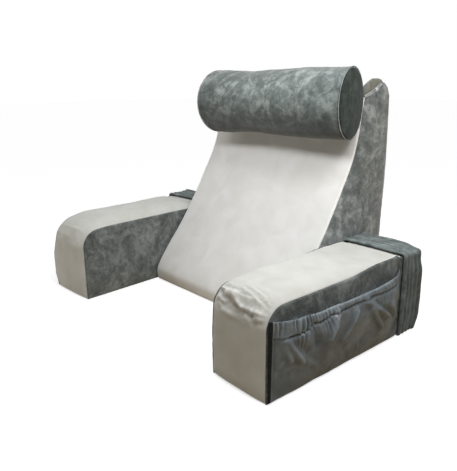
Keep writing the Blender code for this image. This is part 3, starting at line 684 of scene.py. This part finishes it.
arm = {
    "width": 0.130, "length": 0.4188, "rear": 0.004, "seamHeight": 0.159, "noseRadius": 0.036,
    "topCrown": 0.014, "frontCrown": 0.007, "sideCrown": 0.005,
    "release": {"Inner": (0.195, 0.290), "Outer": (0.069, 0.115)},
    "swellFrom": (0.067, 0.081), "swellTo": (0.135, 0.225),
    "riseFrom": (0.0664, 0.0954), "riseTo": (0.340, 0.415),
    "spreadAlong": (0.250, 0.4188), "spreadShoulder": (0.070, 0.140), "spreadFoot": 0.030, "footShare": 0.55,
    "stripRoll": 0.0024, "sideRoll": 0.0028, "footRoll": 0.005,
    "bodyCells": (64, 170, 50), "sideCells": (140, 60), "gather": 0.55,
    "stripWaves": ((0.0012, 0.070, 23.0), (0.0005, 0.024, 24.0)), "stripPucker": (0.0007, 0.010, 25.0, 0.010),
    "sideWaves": ((0.0011, 0.050, 31.0), (0.0005, 0.019, 32.0)), "sidePucker": (0.0008, 0.009, 33.0, 0.009),
    "crumpleAt": 0.418, "crumpleReach": 0.022,
    "stripSmoothEdge": 0.014, "sideSmoothEdge": 0.025, "innerFlatTo": (0.200, 0.260),
    "crownPastCuff": (0.004, 0.050), "stripPastCuff": (0.002, 0.030), "sidePastCuff": (0.010, 0.050),
}
arm["noseAlong"] = arm["length"] - arm["noseRadius"]
arm["noseUp"] = arm["seamHeight"] - arm["noseRadius"]

# Where each arm stands, and how its filling lifts the top in the cuff and at both
# seams, swells it ahead of the cuff and spreads its front. Pairs are inner and outer.
armPlaces = {
    "Right": {
        "sign": 1, "corner": 0.2372, "rear": 0.064, "toe": 0.0240, "innerCuff": 0.0080, "node": "arm_right",
        "plush": "plushArmPaintedDarker", "pocketFront": 0.4186,
        "cuffRise": 0.0036, "cuffCorner": 0.007,
        "rise": (0.0065, 0.0), "swell": (0.0040, 0.0075), "spread": (0.0035, 0.0),
    },
    "Left": {
        "sign": -1, "corner": 0.2307, "rear": 0.061, "toe": 0.0468, "innerCuff": 0.0050, "node": "arm_left",
        "plush": "plushFarArmPaintedDarker", "pocketFront": 0.3960,
        "cuffRise": 0.0127, "cuffCorner": 0.0,
        "rise": (0.0040, 0.0115), "swell": (0.0, 0.0), "spread": (0.0, 0.0210),
    },
}

# Wrinkles of the light strip where it turns down the front: from one point to another
# (distance out from the inner side, and length run forward over the nose), height, width
noseFolds = {
    "Right": [
        ((0.006, 0.4060), (0.030, 0.4135), 0.0040, 0.0030),
        ((0.030, 0.4130), (0.052, 0.4120), 0.0036, 0.0028),
        ((0.050, 0.4130), (0.074, 0.4205), 0.0042, 0.0030),
        ((0.074, 0.4200), (0.096, 0.4185), 0.0034, 0.0028),
        ((0.096, 0.4195), (0.126, 0.4165), 0.0042, 0.0032),
        ((0.104, 0.4255), (0.122, 0.4235), 0.0036, 0.0032),
        ((0.014, 0.4180), (0.034, 0.4220), 0.0022, 0.0024),
        ((0.012, 0.4105), (0.048, 0.4180), -0.0016, 0.0024),
        ((0.056, 0.4200), (0.100, 0.4250), -0.0018, 0.0024),
        ((0.034, 0.4330), (0.054, 0.4345), 0.0016, 0.0030),
        ((0.058, 0.4010), (0.104, 0.4100), 0.0012, 0.0026),
        ((0.070, 0.3940), (0.118, 0.4030), 0.0009, 0.0026),
        ((0.020, 0.3990), (0.050, 0.4040), 0.0008, 0.0028),
    ],
    "Left": [
        ((0.020, 0.4090), (0.070, 0.4130), 0.0012, 0.0050),
        ((0.060, 0.4220), (0.110, 0.4190), 0.0012, 0.0050),
        ((0.030, 0.4300), (0.080, 0.4350), -0.0010, 0.0060),
    ],
}
noseCrumple = {"Right": 0.0022, "Left": 0.0009}


def armSwell(along):
    return smoothStep(along, *arm["swellFrom"]) * (1.0 - smoothStep(along, *arm["swellTo"]))


def armSideCrown(place, side, along, up):
    span = max(along - cuff["width"], 0.0) / (arm["length"] - cuff["width"])
    release = smoothStep(along, *arm["release"][side])
    crown = arm["sideCrown"] * release * flatBulge(0.5 + span / 2) * flatBulge(up / arm["seamHeight"])
    foot = arm["footShare"] + (1.0 - arm["footShare"]) * smoothStep(up, 0.0, arm["spreadFoot"])
    spread = smoothStep(along, *arm["spreadAlong"]) * (1.0 - smoothStep(up, *arm["spreadShoulder"])) * foot
    return crown + place["spread"][side == "Outer"] * spread


def armRise(place, shareAcross, along):
    def acrossMix(ends):
        return ends[0] + shareAcross * (ends[1] - ends[0])
    settled = smoothStep(along, *arm["riseFrom"])
    ahead = acrossMix(place["rise"]) * (1.0 - smoothStep(along, *arm["riseTo"]))
    swell = acrossMix(place["swell"]) * armSwell(along)
    return place["cuffRise"] * (1.0 - settled) + ahead * settled + swell


def armLift(along, up):
    seat = 1.0 - smoothStep(along - cuff["width"], *cuff["release"])
    return cuff["seat"] * seat * (1.0 - up / arm["seamHeight"])


def armProfile(shareAlong, shareUp):
    # the place on the arm's side, and how far the strip has run forward over the nose
    along = arm["rear"] + shareAlong * (arm["length"] - arm["rear"])
    up = shareUp * arm["seamHeight"]
    ahead, above = along - arm["noseAlong"], up - arm["noseUp"]
    if ahead > 0.0 and above > 0.0:
        scale = max(ahead, above) / math.hypot(ahead, above)
        along, up = arm["noseAlong"] + ahead * scale, arm["noseUp"] + above * scale
        turn = math.atan2(ahead, above)
        return along, up, (math.sin(turn), math.cos(turn)), arm["noseAlong"] + arm["noseRadius"] * turn
    if shareUp > 0.999:
        return along, up, (0.0, 1.0), along
    if shareAlong > 0.999:
        down = arm["noseAlong"] + arm["noseRadius"] * math.pi / 2 + arm["noseUp"] - up
        return along, up, (1.0, 0.0), down
    return along, up, (0.0, 0.0), along


def armEdgeGap(along, up):
    gap = min(up, arm["length"] - along, arm["seamHeight"] - up, along - arm["rear"])
    ahead, above = along - arm["noseAlong"], up - arm["noseUp"]
    if ahead > 0.0 and above > 0.0:
        gap = min(gap, arm["noseRadius"] - math.hypot(ahead, above))
    return max(gap, 0.0)


def armCrown(place, shareAcross, shareAlong, shareUp, along):
    middle = flatBulge(shareAcross)
    press = smoothStep(along - cuff["width"], *arm["crownPastCuff"])
    swell = armSwell(along) if place["swell"][1] else 0.0
    top = arm["topCrown"] * middle * press * (1.0 - swell) + armRise(place, shareAcross, along)
    front = arm["frontCrown"] * middle * shareAlong ** 12 * (0.35 + 0.65 * flatBulge(shareUp))
    return front, top * shareUp ** 6


def armToWorld(place, out, along, up):
    across = place["corner"] + out * math.cos(place["toe"]) - along * math.sin(place["toe"])
    rear = place["rear"] - out * math.sin(place["toe"]) - along * math.cos(place["toe"])
    return place["sign"] * across, rear, up


def armAlong(place, spot):
    aside, ahead = place["sign"] * spot.x - place["corner"], spot.y - place["rear"]
    return -aside * math.sin(place["toe"]) - ahead * math.cos(place["toe"])


def stripWrinkle(hand, out, run):
    nose = math.exp(-((run - arm["crumpleAt"]) / arm["crumpleReach"]) ** 2)
    crumple = ripple(0.009, 21.0, out * 0.55, run) + 0.6 * ripple(0.004, 22.0, out, run)
    return (ridges(noseFolds[hand], out, run) + noseCrumple[hand] * nose * crumple
            + waves(arm["stripWaves"], out, run))


def buildArmBody(hand, place):
    inner, outer = skin, arm["width"] - skin

    def point(shareAcross, shareAlong, shareUp):
        spreadAlong, spreadUp = denseEnds(shareAlong, arm["gather"]), denseEnds(shareUp, arm["gather"])
        along, up, facing, run = armProfile(spreadAlong, spreadUp)
        spread = denseEnds(shareAcross)
        out = inner + spread * (outer - inner)
        front, top = armCrown(place, spread, shareAlong, shareUp, along)
        gap = min(out - inner, outer - out)
        out += armSideCrown(place, "Outer", along, up) * spread ** 3
        out -= armSideCrown(place, "Inner", along, up) * (1.0 - spread) ** 3
        free = smoothStep(along - cuff["width"], *arm["stripPastCuff"])
        rise = stripWrinkle(hand, out, run) * smoothStep(gap, 0.0, arm["stripSmoothEdge"])
        rise = (rise + pucker(arm["stripPucker"], gap, run, out * 0.1)) * free
        rise -= edgeRoll(gap, arm["stripRoll"])
        foot = edgeRoll(up, arm["footRoll"]) if shareAlong > 0.999 else 0.0
        along += front + rise * facing[0] - foot
        up += top + armLift(along, up) + rise * facing[1]
        return armToWorld(place, out, along, max(up, 0.0))

    block = moved(cellBlock(*arm["bodyCells"]), point)
    piece = finishPiece(block, "arm" + hand + "Body", "velvet", [place["node"] + "_body"])


def buildArmSide(hand, place, side):
    face = 1.0 if side == "Outer" else 0.0
    direction = 1 if side == "Outer" else -1

    def point(shareThick, shareAlong, shareUp):
        spreadAlong, spreadUp = denseEnds(shareAlong, arm["gather"]), denseEnds(shareUp, arm["gather"])
        along, up, _, _ = armProfile(spreadAlong, spreadUp)
        gap = armEdgeGap(along, up)
        _, top = armCrown(place, face, shareAlong, spreadUp, along)
        out = (arm["width"] - skin) if face else skin
        out += direction * armSideCrown(place, side, along, up)
        loose = smoothStep(along - cuff["width"], *arm["sidePastCuff"])
        if side == "Inner":
            loose *= smoothStep(along, *arm["innerFlatTo"])
        soft = waves(arm["sideWaves"], along, up) * smoothStep(gap, 0.0, arm["sideSmoothEdge"]) * loose
        gathers = pucker(arm["sidePucker"], gap, along, up) * loose
        proud = shareThick * (cloth["plush"] - edgeRoll(gap, arm["sideRoll"]) + gathers)
        out += direction * (cloth["touch"] + proud + soft)
        return armToWorld(place, out, along, up + top + armLift(along, up))

    block = moved(cellBlock(1, *arm["sideCells"]), point)
    name = "arm" + hand + "Side" + side
    piece = finishPiece(block, name, place["plush"], [place["node"] + "_side_" + side.lower()])


# Cuff: a thick ribbed loop that squeezes the rear end of the arm

cuff = {
    "width": 0.0634, "thickness": 0.0078, "under": 0.003, "ease": 0.0008, "innerRadius": 0.002,
    "seat": 0.0040, "release": (0.002, 0.020), "cornerSteps": 8, "runSteps": 26,
    "heelTuck": 0.010, "heelHeight": 0.032, "cornerReach": 0.036,
    "wornWaves": ((0.26, 0.034, 41.0),), "driftWaves": ((0.0034, 0.045, 42.0),),
}

# Its cross-section from the front edge to the rear lip and back along the arm:
# place across the width, and rise above the arm as a share of the thickness
cuffSection = [
    (1.000, 0.45), (0.975, 0.95), (0.880, 1.06), (0.790, 0.55),
    (0.680, 1.08), (0.570, 0.52), (0.450, 1.06), (0.340, 0.50),
    (0.230, 1.02), (0.130, 0.58), (0.030, 1.24), (-0.040, 1.05),
    (-0.020, 0.35), (0.060, 0.00), (0.500, 0.00), (0.960, 0.00),
]


def cuffPath(place):
    ease = cuff["ease"]
    sides = {"outLow": -ease, "outHigh": arm["width"] + ease,
             "upLow": cuff["seat"] - ease, "upHigh": arm["seamHeight"] + place["cuffRise"] + ease}
    corners = [
        (sides["outHigh"], sides["upHigh"], cuff["thickness"]),
        (sides["outLow"], sides["upHigh"], cuff["thickness"]),
        (sides["outLow"], sides["upLow"], place["innerCuff"]),
        (sides["outHigh"], sides["upLow"], cuff["under"]),
    ]
    radius, path = cuff["innerRadius"], []

    def centreOf(corner, turn):
        facing = turn + math.pi / 4
        return (corner[0] - math.copysign(radius, math.cos(facing)),
                corner[1] - math.copysign(radius, math.sin(facing)))

    for index, corner in enumerate(corners):
        turn, before = index * math.pi / 2, corner[2]
        following = corners[(index + 1) % 4]
        centreOut, centreUp = centreOf(corner, turn)
        for step in range(cuff["cornerSteps"] + 1):
            share = step / cuff["cornerSteps"]
            angle = turn + share * math.pi / 2
            normal = (math.cos(angle), math.sin(angle))
            path.append((centreOut + radius * normal[0], centreUp + radius * normal[1], *normal,
                         before + share * (following[2] - before)))
        nextTurn = turn + math.pi / 2
        endOut, endUp = centreOf(following, nextTurn)
        endOut, endUp = endOut + radius * math.cos(nextTurn), endUp + radius * math.sin(nextTurn)
        startOut, startUp, normalOut, normalUp, _ = path[-1]
        for step in range(1, cuff["runSteps"]):
            share = step / cuff["runSteps"]
            path.append((startOut + share * (endOut - startOut), startUp + share * (endUp - startUp),
                         normalOut, normalUp, following[2]))
    return path


def buildCuff(hand, place):
    path = cuffPath(place)
    mesh = bmesh.new()
    for across, rise in cuffSection:
        mesh.verts.new((across, rise, 0.0))
    mesh.verts.ensure_lookup_table()
    for index in range(len(cuffSection)):
        mesh.edges.new((mesh.verts[index], mesh.verts[(index + 1) % len(cuffSection)]))
    bmesh.ops.spin(mesh, geom=mesh.verts[:] + mesh.edges[:], cent=(0, -1, 0), axis=(1, 0, 0),
                   angle=math.tau, steps=len(path), use_merge=True, use_duplicate=False)
    for vertex in mesh.verts:
        rise = math.hypot(vertex.co.y + 1.0, vertex.co.z) - 1.0
        turn = math.atan2(vertex.co.z, vertex.co.y + 1.0) % math.tau
        spotOut, spotUp, normalOut, normalUp, thickness = path[round(turn / math.tau * len(path)) % len(path)]
        share, loose = vertex.co.x, smoothStep(rise, 0.1, 0.6)
        lift = rise * thickness * (1.0 + waves(cuff["wornWaves"], spotOut, spotUp, share * 0.5) * loose)
        height = spotUp + lift * normalUp
        drift = waves(cuff["driftWaves"], spotOut, spotUp, share * 0.1) * loose
        tuck = cuff["heelTuck"] * (1.0 - smoothStep(height, 0.0, cuff["heelHeight"])) * (1.0 - share)
        out = spotOut + lift * normalOut
        corner = smoothStep(out, arm["width"] - cuff["cornerReach"], arm["width"]) * (1.0 - share)
        corner *= smoothStep(height, arm["seamHeight"] - cuff["cornerReach"], arm["seamHeight"])
        drawn = place["cuffCorner"] * corner * smoothStep(rise, 0.2, 0.8)
        vertex.co = armToWorld(place, out - drawn, share * cuff["width"] + drift + tuck, height - drawn)
    piece = finishPiece(mesh, "arm" + hand + "Cuff", "ribbed", [place["node"] + "_cuff"], 2)


# Pocket: thin nylon on the arm's outer side, gathered on elastic along its mouth.
# Places are forward along the arm and up from the floor.

pocket = {
    "rear": 0.071, "foot": 0.004, "mouth": 0.141, "sag": 0.007,
    "belly": 0.015, "mouthStand": 0.010, "gatherPitch": 0.0082, "cells": (210, 76), "seamShadowStrip": 0.0044,
    "sideClear": 0.0006, "hem": 0.0022, "stitchWide": 0.0022, "stitchDeep": 0.0010, "gatherFade": 0.014,
    "mouthWaves": ((0.0012, 0.030, 51.0),), "slackWaves": ((0.0011, 0.034, 53.0), (0.0006, 0.013, 54.0)),
    "pleatWarp": ((1.5, 0.024, 52.0),), "pleatWaves": ((1.5, 0.021, 55.0),),
}
# The stitched hem of the mouth: place along the arm, depth, and height of its gathers
casingRows = [
    (0.071, 0.0130, 0.0007), (0.131, 0.0140, 0.0007), (0.200, 0.0095, 0.0005), (0.290, 0.0110, 0.0010),
    (0.330, 0.0160, 0.0020), (0.370, 0.0240, 0.0030), (0.417, 0.0265, 0.0028),
]
# Its slack folds: from, to, height and width
pocketFolds = [
    ((0.205, 0.122), (0.134, 0.074), 0.0070, 0.0070),
    ((0.195, 0.106), (0.150, 0.056), 0.0048, 0.0055),
    ((0.131, 0.095), (0.083, 0.049), 0.0060, 0.0075),
    ((0.283, 0.122), (0.303, 0.085), 0.0064, 0.0075),
    ((0.235, 0.112), (0.265, 0.072), 0.0056, 0.0070),
    ((0.405, 0.114), (0.385, 0.070), 0.0060, 0.0060),
    ((0.395, 0.110), (0.360, 0.062), 0.0058, 0.0060),
    ((0.399, 0.070), (0.403, 0.064), 0.0030, 0.0045),
    ((0.338, 0.116), (0.326, 0.084), -0.0065, 0.0085),
    ((0.176, 0.110), (0.110, 0.066), -0.0035, 0.0060),
    ((0.378, 0.100), (0.350, 0.076), -0.0038, 0.0070),
    ((0.214, 0.041), (0.206, 0.010), 0.0020, 0.0032),
    ((0.310, 0.080), (0.290, 0.030), 0.0024, 0.0100),
    ((0.155, 0.045), (0.120, 0.020), 0.0022, 0.0085),
    ((0.4115, 0.010), (0.4110, 0.112), -0.0060, 0.0030),
    ((0.100, 0.012), (0.400, 0.012), 0.0016, 0.0026),
    ((0.345, 0.058), (0.300, 0.018), 0.0018, 0.0060),
    ((0.255, 0.050), (0.232, 0.016), -0.0020, 0.0055),
]


def pocketShare(place, along):
    return (along - pocket["rear"]) / (place["pocketFront"] - pocket["rear"])


def mouthLine(place, along):
    share = pocketShare(place, along)
    wave = waves(pocket["mouthWaves"], along) * flatBulge(share, 6)
    return pocket["mouth"] - pocket["sag"] * flatBulge(share, 2) + wave


def pocketStand(place, along, up):
    shareAlong = pocketShare(place, along)
    top = mouthLine(place, along)
    shareUp = (up - pocket["foot"]) / (top - pocket["foot"])
    ends = min(1.0, flatBulge(shareAlong, 6) * 1.02)
    belly = pocket["belly"] * math.sin(math.pi * min(shareUp * 0.78, 1.0))
    belly *= 1.0 - 0.55 * smoothStep(shareUp, 0.7, 1.0)
    mouth = pocket["mouthStand"] * smoothStep(shareUp, 0.4, 1.0)
    depth, gather = rowValue(casingRows, along, 1), rowValue(casingRows, along, 2)
    below = (top - up) / depth
    warp = waves(pocket["pleatWarp"], along, up * 0.5)
    uneven = min(max(0.55 + waves(pocket["pleatWaves"], along, up * 0.4), 0.05), 1.3)
    pleat = gather * uneven * math.cos(math.tau * (along / pocket["gatherPitch"] + warp))
    hem = pocket["hem"] * math.sin(math.pi * min(max(below, 0.0), 1.0)) ** 0.6
    stitchGap = (below - 1.06) * depth / pocket["stitchWide"]
    stitchLine = (pocket["stitchDeep"] + gather) * math.exp(-stitchGap ** 2)
    fade = 1.0 if below < 1.0 else math.exp(-(below - 1.0) * depth / pocket["gatherFade"])
    slack = waves(pocket["slackWaves"], along, up) + ridges(pocketFolds, along, up)
    return ends * (belly + mouth + hem - stitchLine + pleat * fade + slack * smoothStep(shareUp, 0.0, 0.35))


def buildPocket(hand, place):
    def point(shareThick, shareAlong, shareUp):
        spread = denseEnds(shareAlong, 0.3)
        along = pocket["rear"] + spread * (place["pocketFront"] - pocket["rear"])
        up = pocket["foot"] + shareUp * (mouthLine(place, along) - pocket["foot"])
        soft = waves(arm["sideWaves"], along, up) + pocket["sideClear"]
        out = arm["width"] + armSideCrown(place, "Outer", along, up) + 2 * cloth["touch"] + max(soft, 0.0)
        out += pocketStand(place, along, up) + shareThick * cloth["nylon"]
        return armToWorld(place, out, along, up)

    block = moved(cellBlock(1, *pocket["cells"]), point)
    piece = finishPiece(block, "arm" + hand + "Pocket", "nylon", [place["node"] + "_pocket"])
    # faces along the pocket's front edge take the near-black strip: painted shade for the seam's gap
    piece.data.materials.append(materials["seamShadowStrip"])
    for face in piece.data.polygons:
        if armAlong(place, face.center) > place["pocketFront"] - pocket["seamShadowStrip"]:
            face.material_index = 1


for armHand, armPlace in armPlaces.items():
    buildArmBody(armHand, armPlace)
    buildArmSide(armHand, armPlace, "Inner")
    buildArmSide(armHand, armPlace, "Outer")
    buildCuff(armHand, armPlace)
    buildPocket(armHand, armPlace)
    print("arm made:", armHand)


# Neck bolster: a filled roll with round end panels, resting against the front panel

bolster = {
    "left": -0.1430, "right": 0.2370, "radius": (0.0710, 0.0682), "rear": -0.006, "height": (0.4357, 0.4393),
    "slant": math.tan(math.radians(17)),
    "steps": 150, "rings": 120, "endCrown": 0.008, "rimRoll": 0.0030, "rimBead": 0.0012, "clear": 0.0005,
    "pipingWide": 0.0010, "turnedIn": 0.008, "smoothEdge": 0.02,
    "waves": ((0.0013, 0.055, 61.0), (0.0006, 0.020, 62.0)), "pucker": (0.0009, 0.008, 63.0, 0.012),
    "endWaves": ((0.0008, 0.030, 71.0),), "endPuckers": ((0.0009, 0.008, 72.0),), "beadSteps": 8,
    "endSmoothEdge": (-0.002, 0.001), "bodyRings": (0.0, 0.25, 0.5, 0.7, 0.85, 0.94),
    "endRings": (0.0, 0.1, 0.2, 0.3, 0.4, 0.5, 0.6, 0.7, 0.78, 0.85, 0.9, 0.94, 0.97),
}
# Where the roll is slacker or fuller: place from its left end, depth and width
bolsterDips = [(0.34, 0.0030, 0.16), (0.78, -0.0010, 0.12)]


def bolsterRadius(share):
    radius = bolster["radius"][0] + share * (bolster["radius"][1] - bolster["radius"][0])
    for place, depth, width in bolsterDips:
        radius -= depth * math.exp(-((share - place) / width) ** 2)
    return radius


def turnedShape(profile):
    mesh = bmesh.new()
    for across, radius in profile:
        mesh.verts.new((across, radius, 0.0))
    mesh.verts.ensure_lookup_table()
    for index in range(len(profile) - 1):
        mesh.edges.new((mesh.verts[index], mesh.verts[index + 1]))
    bmesh.ops.spin(mesh, geom=mesh.verts[:] + mesh.edges[:], cent=(0, 0, 0), axis=(1, 0, 0),
                   angle=math.tau, steps=bolster["steps"], use_merge=True, use_duplicate=False)
    bmesh.ops.remove_doubles(mesh, verts=mesh.verts, dist=0.00001)
    return mesh


def seatOnPanel(mesh):
    for vertex in mesh.verts:
        share = (vertex.co.x - bolster["left"]) / (bolster["right"] - bolster["left"])
        vertex.co.x -= bolster["slant"] * vertex.co.y * max(share, 0.0) ** 2
        vertex.co.y += bolster["rear"]
        vertex.co.z += bolster["height"][0] + share * (bolster["height"][1] - bolster["height"][0])
        limit = wedgeFront(vertex.co.x, min(vertex.co.z, wedge["top"])) - bolster["clear"]
        vertex.co.y = min(vertex.co.y, limit)


def endCrown(ring):
    return bolster["endCrown"] * (1.0 - ring * ring)


def buildBolster():
    left, right = bolster["left"] + skin, bolster["right"] - skin
    rings = bolster["bodyRings"]
    profile = [(left - endCrown(ring), ring * bolsterRadius(0.0)) for ring in rings]
    for step in range(bolster["rings"] + 1):
        share = denseEnds(step / bolster["rings"])
        across = left + share * (right - left)
        gap = min(across - left, right - across)
        profile.append((across, bolsterRadius(share) - edgeRoll(gap, bolster["rimRoll"])))
    profile += [(right + endCrown(ring), ring * bolsterRadius(1.0)) for ring in reversed(rings)]
    mesh = turnedShape(profile)
    for vertex in mesh.verts:
        across, radius = vertex.co.x, math.hypot(vertex.co.y, vertex.co.z)
        if radius < bolster["radius"][1] * 0.9:
            continue
        gap = min(across - left, right - across)
        wave = waves(bolster["waves"], *vertex.co) * smoothStep(gap, 0.0, bolster["smoothEdge"])
        scale = 1.0 + (wave + pucker(bolster["pucker"], gap, *vertex.co)) / radius
        vertex.co.y *= scale
        vertex.co.z *= scale
    seatOnPanel(mesh)
    body = finishPiece(mesh, "bolsterBody", "plushRollPaintedShade", ["bolster_body"])
    for name, edge, direction in (("Left", left, -1), ("Right", right, 1)):
        buildBolsterEnd(name, edge + direction * cloth["touch"], direction)


def buildBolsterEnd(name, edge, direction):
    rim = bolsterRadius(0.0 if direction < 0 else 1.0) - bolster["rimRoll"] * 0.35
    rings = bolster["endRings"]
    lip = cloth["plush"] / 2 + bolster["rimBead"] / 2
    profile = [(edge + direction * endCrown(ring), ring * rim) for ring in rings]
    for step in range(bolster["beadSteps"] + 1):
        angle = -math.pi * step / bolster["beadSteps"]
        profile.append((edge + direction * (lip + lip * math.sin(angle)), rim + lip * math.cos(angle)))
    profile += [(across + direction * cloth["plush"], radius)
                for across, radius in reversed(profile[:len(rings)])]
    mesh = turnedShape(profile)
    for vertex in mesh.verts:
        radius = math.hypot(vertex.co.y, vertex.co.z)
        soft = waves(bolster["endWaves"], vertex.co.y, vertex.co.z)
        soft += waves(bolster["endPuckers"], vertex.co.y, vertex.co.z) * smoothStep(radius, rim * 0.8, rim)
        vertex.co.x += direction * soft * (1.0 - smoothStep(radius - rim, *bolster["endSmoothEdge"]))
    seatOnPanel(mesh)
    node = "bolster_end_" + name.lower()
    # the disc takes the darkened ends' plush, which is painted shade; its piping ring keeps the plain plush
    # tone
    disc = finishPiece(mesh, "bolsterEnd" + name, "plushInShade", [node])
    disc.data.materials.append(materials["plush"])
    for face in disc.data.polygons:
        away = face.center - Vector((0.0, bolster["rear"], bolster["height"][direction > 0]))
        if math.hypot(away.y, away.z) > rim - bolster["pipingWide"]:
            face.material_index = 1


buildBolster()
print("bolster made")


# Studio: a white paper floor under a soft dome, a strip light over the seat, a softbox
# above the right arm and a fill card low in front of the left one. The paper glows where
# it is seen, and throws a warm light up where it isn't.
studio = {
    "floorHalf": 12.0, "paperGlow": 0.69, "paperSeen": "#c8c8c8", "paperBounce": "#b2a48c", "backdrop": 1.0,
    "domeLow": 0.08, "domeHigh": 1.04, "domeAxis": (-0.10, 0.42, 0.90),
}
lamps = [
    {"name": "stripLight", "place": (0.12, -0.33, 0.575), "target": (0.06, 0.03, 0.33),
     "wide": 0.54, "high": 0.06, "power": 1.28},
    {"name": "softbox", "place": (0.82, -0.36, 0.98), "target": (0.28, -0.05, 0.22),
     "wide": 0.36, "high": 0.36, "power": 5.2},
    {"name": "fillCard", "place": (-0.62, -0.95, 0.12), "target": (-0.28, -0.36, 0.05),
     "wide": 0.40, "high": 0.20, "power": 1.15},
]


def makeFloor():
    mesh = bmesh.new()
    bmesh.ops.create_grid(mesh, x_segments=1, y_segments=1, size=studio["floorHalf"])
    data = bpy.data.meshes.new("studioFloor")
    mesh.to_mesh(data)
    mesh.free()
    floor = bpy.data.objects.new("studioFloor", data)
    bpy.context.scene.collection.objects.link(floor)
    material = bpy.data.materials.new("matt_white_paper")
    tree = emptyTree(material)
    bounce = addNode(tree, "ShaderNodeBsdfDiffuse", {"Color": studio["paperBounce"]})
    paper = addNode(tree, "ShaderNodeBsdfDiffuse", {"Color": studio["paperSeen"]})
    glow = addNode(tree, "ShaderNodeEmission", {"Strength": studio["paperGlow"]})
    seen = addNode(tree, "ShaderNodeAddShader", {0: paper, 1: glow})
    seenDirectly = addNode(tree, "ShaderNodeLightPath", output="Is Camera Ray")
    mixed = addNode(tree, "ShaderNodeMixShader", {0: seenDirectly, 1: bounce, 2: seen})
    addNode(tree, "ShaderNodeOutputMaterial", {"Surface": mixed})
    data.materials.append(material)


def makeDome():
    # brightest along its axis for the light, plain white where it is seen directly
    world = bpy.data.worlds.new("softDome")
    bpy.context.scene.world = world
    tree = emptyTree(world)
    toward = addNode(tree, "ShaderNodeTexCoord", output="Generated")
    along = addNode(tree, "ShaderNodeVectorMath", {0: toward, 1: studio["domeAxis"]},
                    {"operation": "DOT_PRODUCT"}, output="Value")
    near = addNode(tree, "ShaderNodeMath", {0: along, 1: 0.0}, {"operation": "MAXIMUM"})
    steep = addNode(tree, "ShaderNodeMath", {0: near, 1: near}, {"operation": "MULTIPLY"})
    strength = addNode(tree, "ShaderNodeMapRange", {
        "Value": steep, "From Min": 0.0, "From Max": 1.0,
        "To Min": studio["domeLow"], "To Max": studio["domeHigh"]})
    dome = addNode(tree, "ShaderNodeBackground", {"Color": "#ffffff", "Strength": strength})
    backdrop = addNode(tree, "ShaderNodeBackground", {"Color": "#ffffff", "Strength": studio["backdrop"]})
    seenDirectly = addNode(tree, "ShaderNodeLightPath", output="Is Camera Ray")
    mixed = addNode(tree, "ShaderNodeMixShader", {0: seenDirectly, 1: dome, 2: backdrop})
    addNode(tree, "ShaderNodeOutputWorld", {"Surface": mixed})


def makeLamp(settings):
    light = bpy.data.lights.new(settings["name"], "AREA")
    light.shape = "RECTANGLE"
    light.size, light.size_y = settings["wide"], settings["high"]
    light.energy = settings["power"]
    lamp = bpy.data.objects.new(settings["name"], light)
    lamp.location = settings["place"]
    lamp.rotation_euler = (Vector(settings["target"]) - lamp.location).to_track_quat("-Z", "Y").to_euler()
    lamp.visible_camera = False
    bpy.context.scene.collection.objects.link(lamp)


makeFloor()
makeDome()
for lampSettings in lamps:
    makeLamp(lampSettings)
bpy.context.scene.view_settings.view_transform = "Standard"
print("studio made")
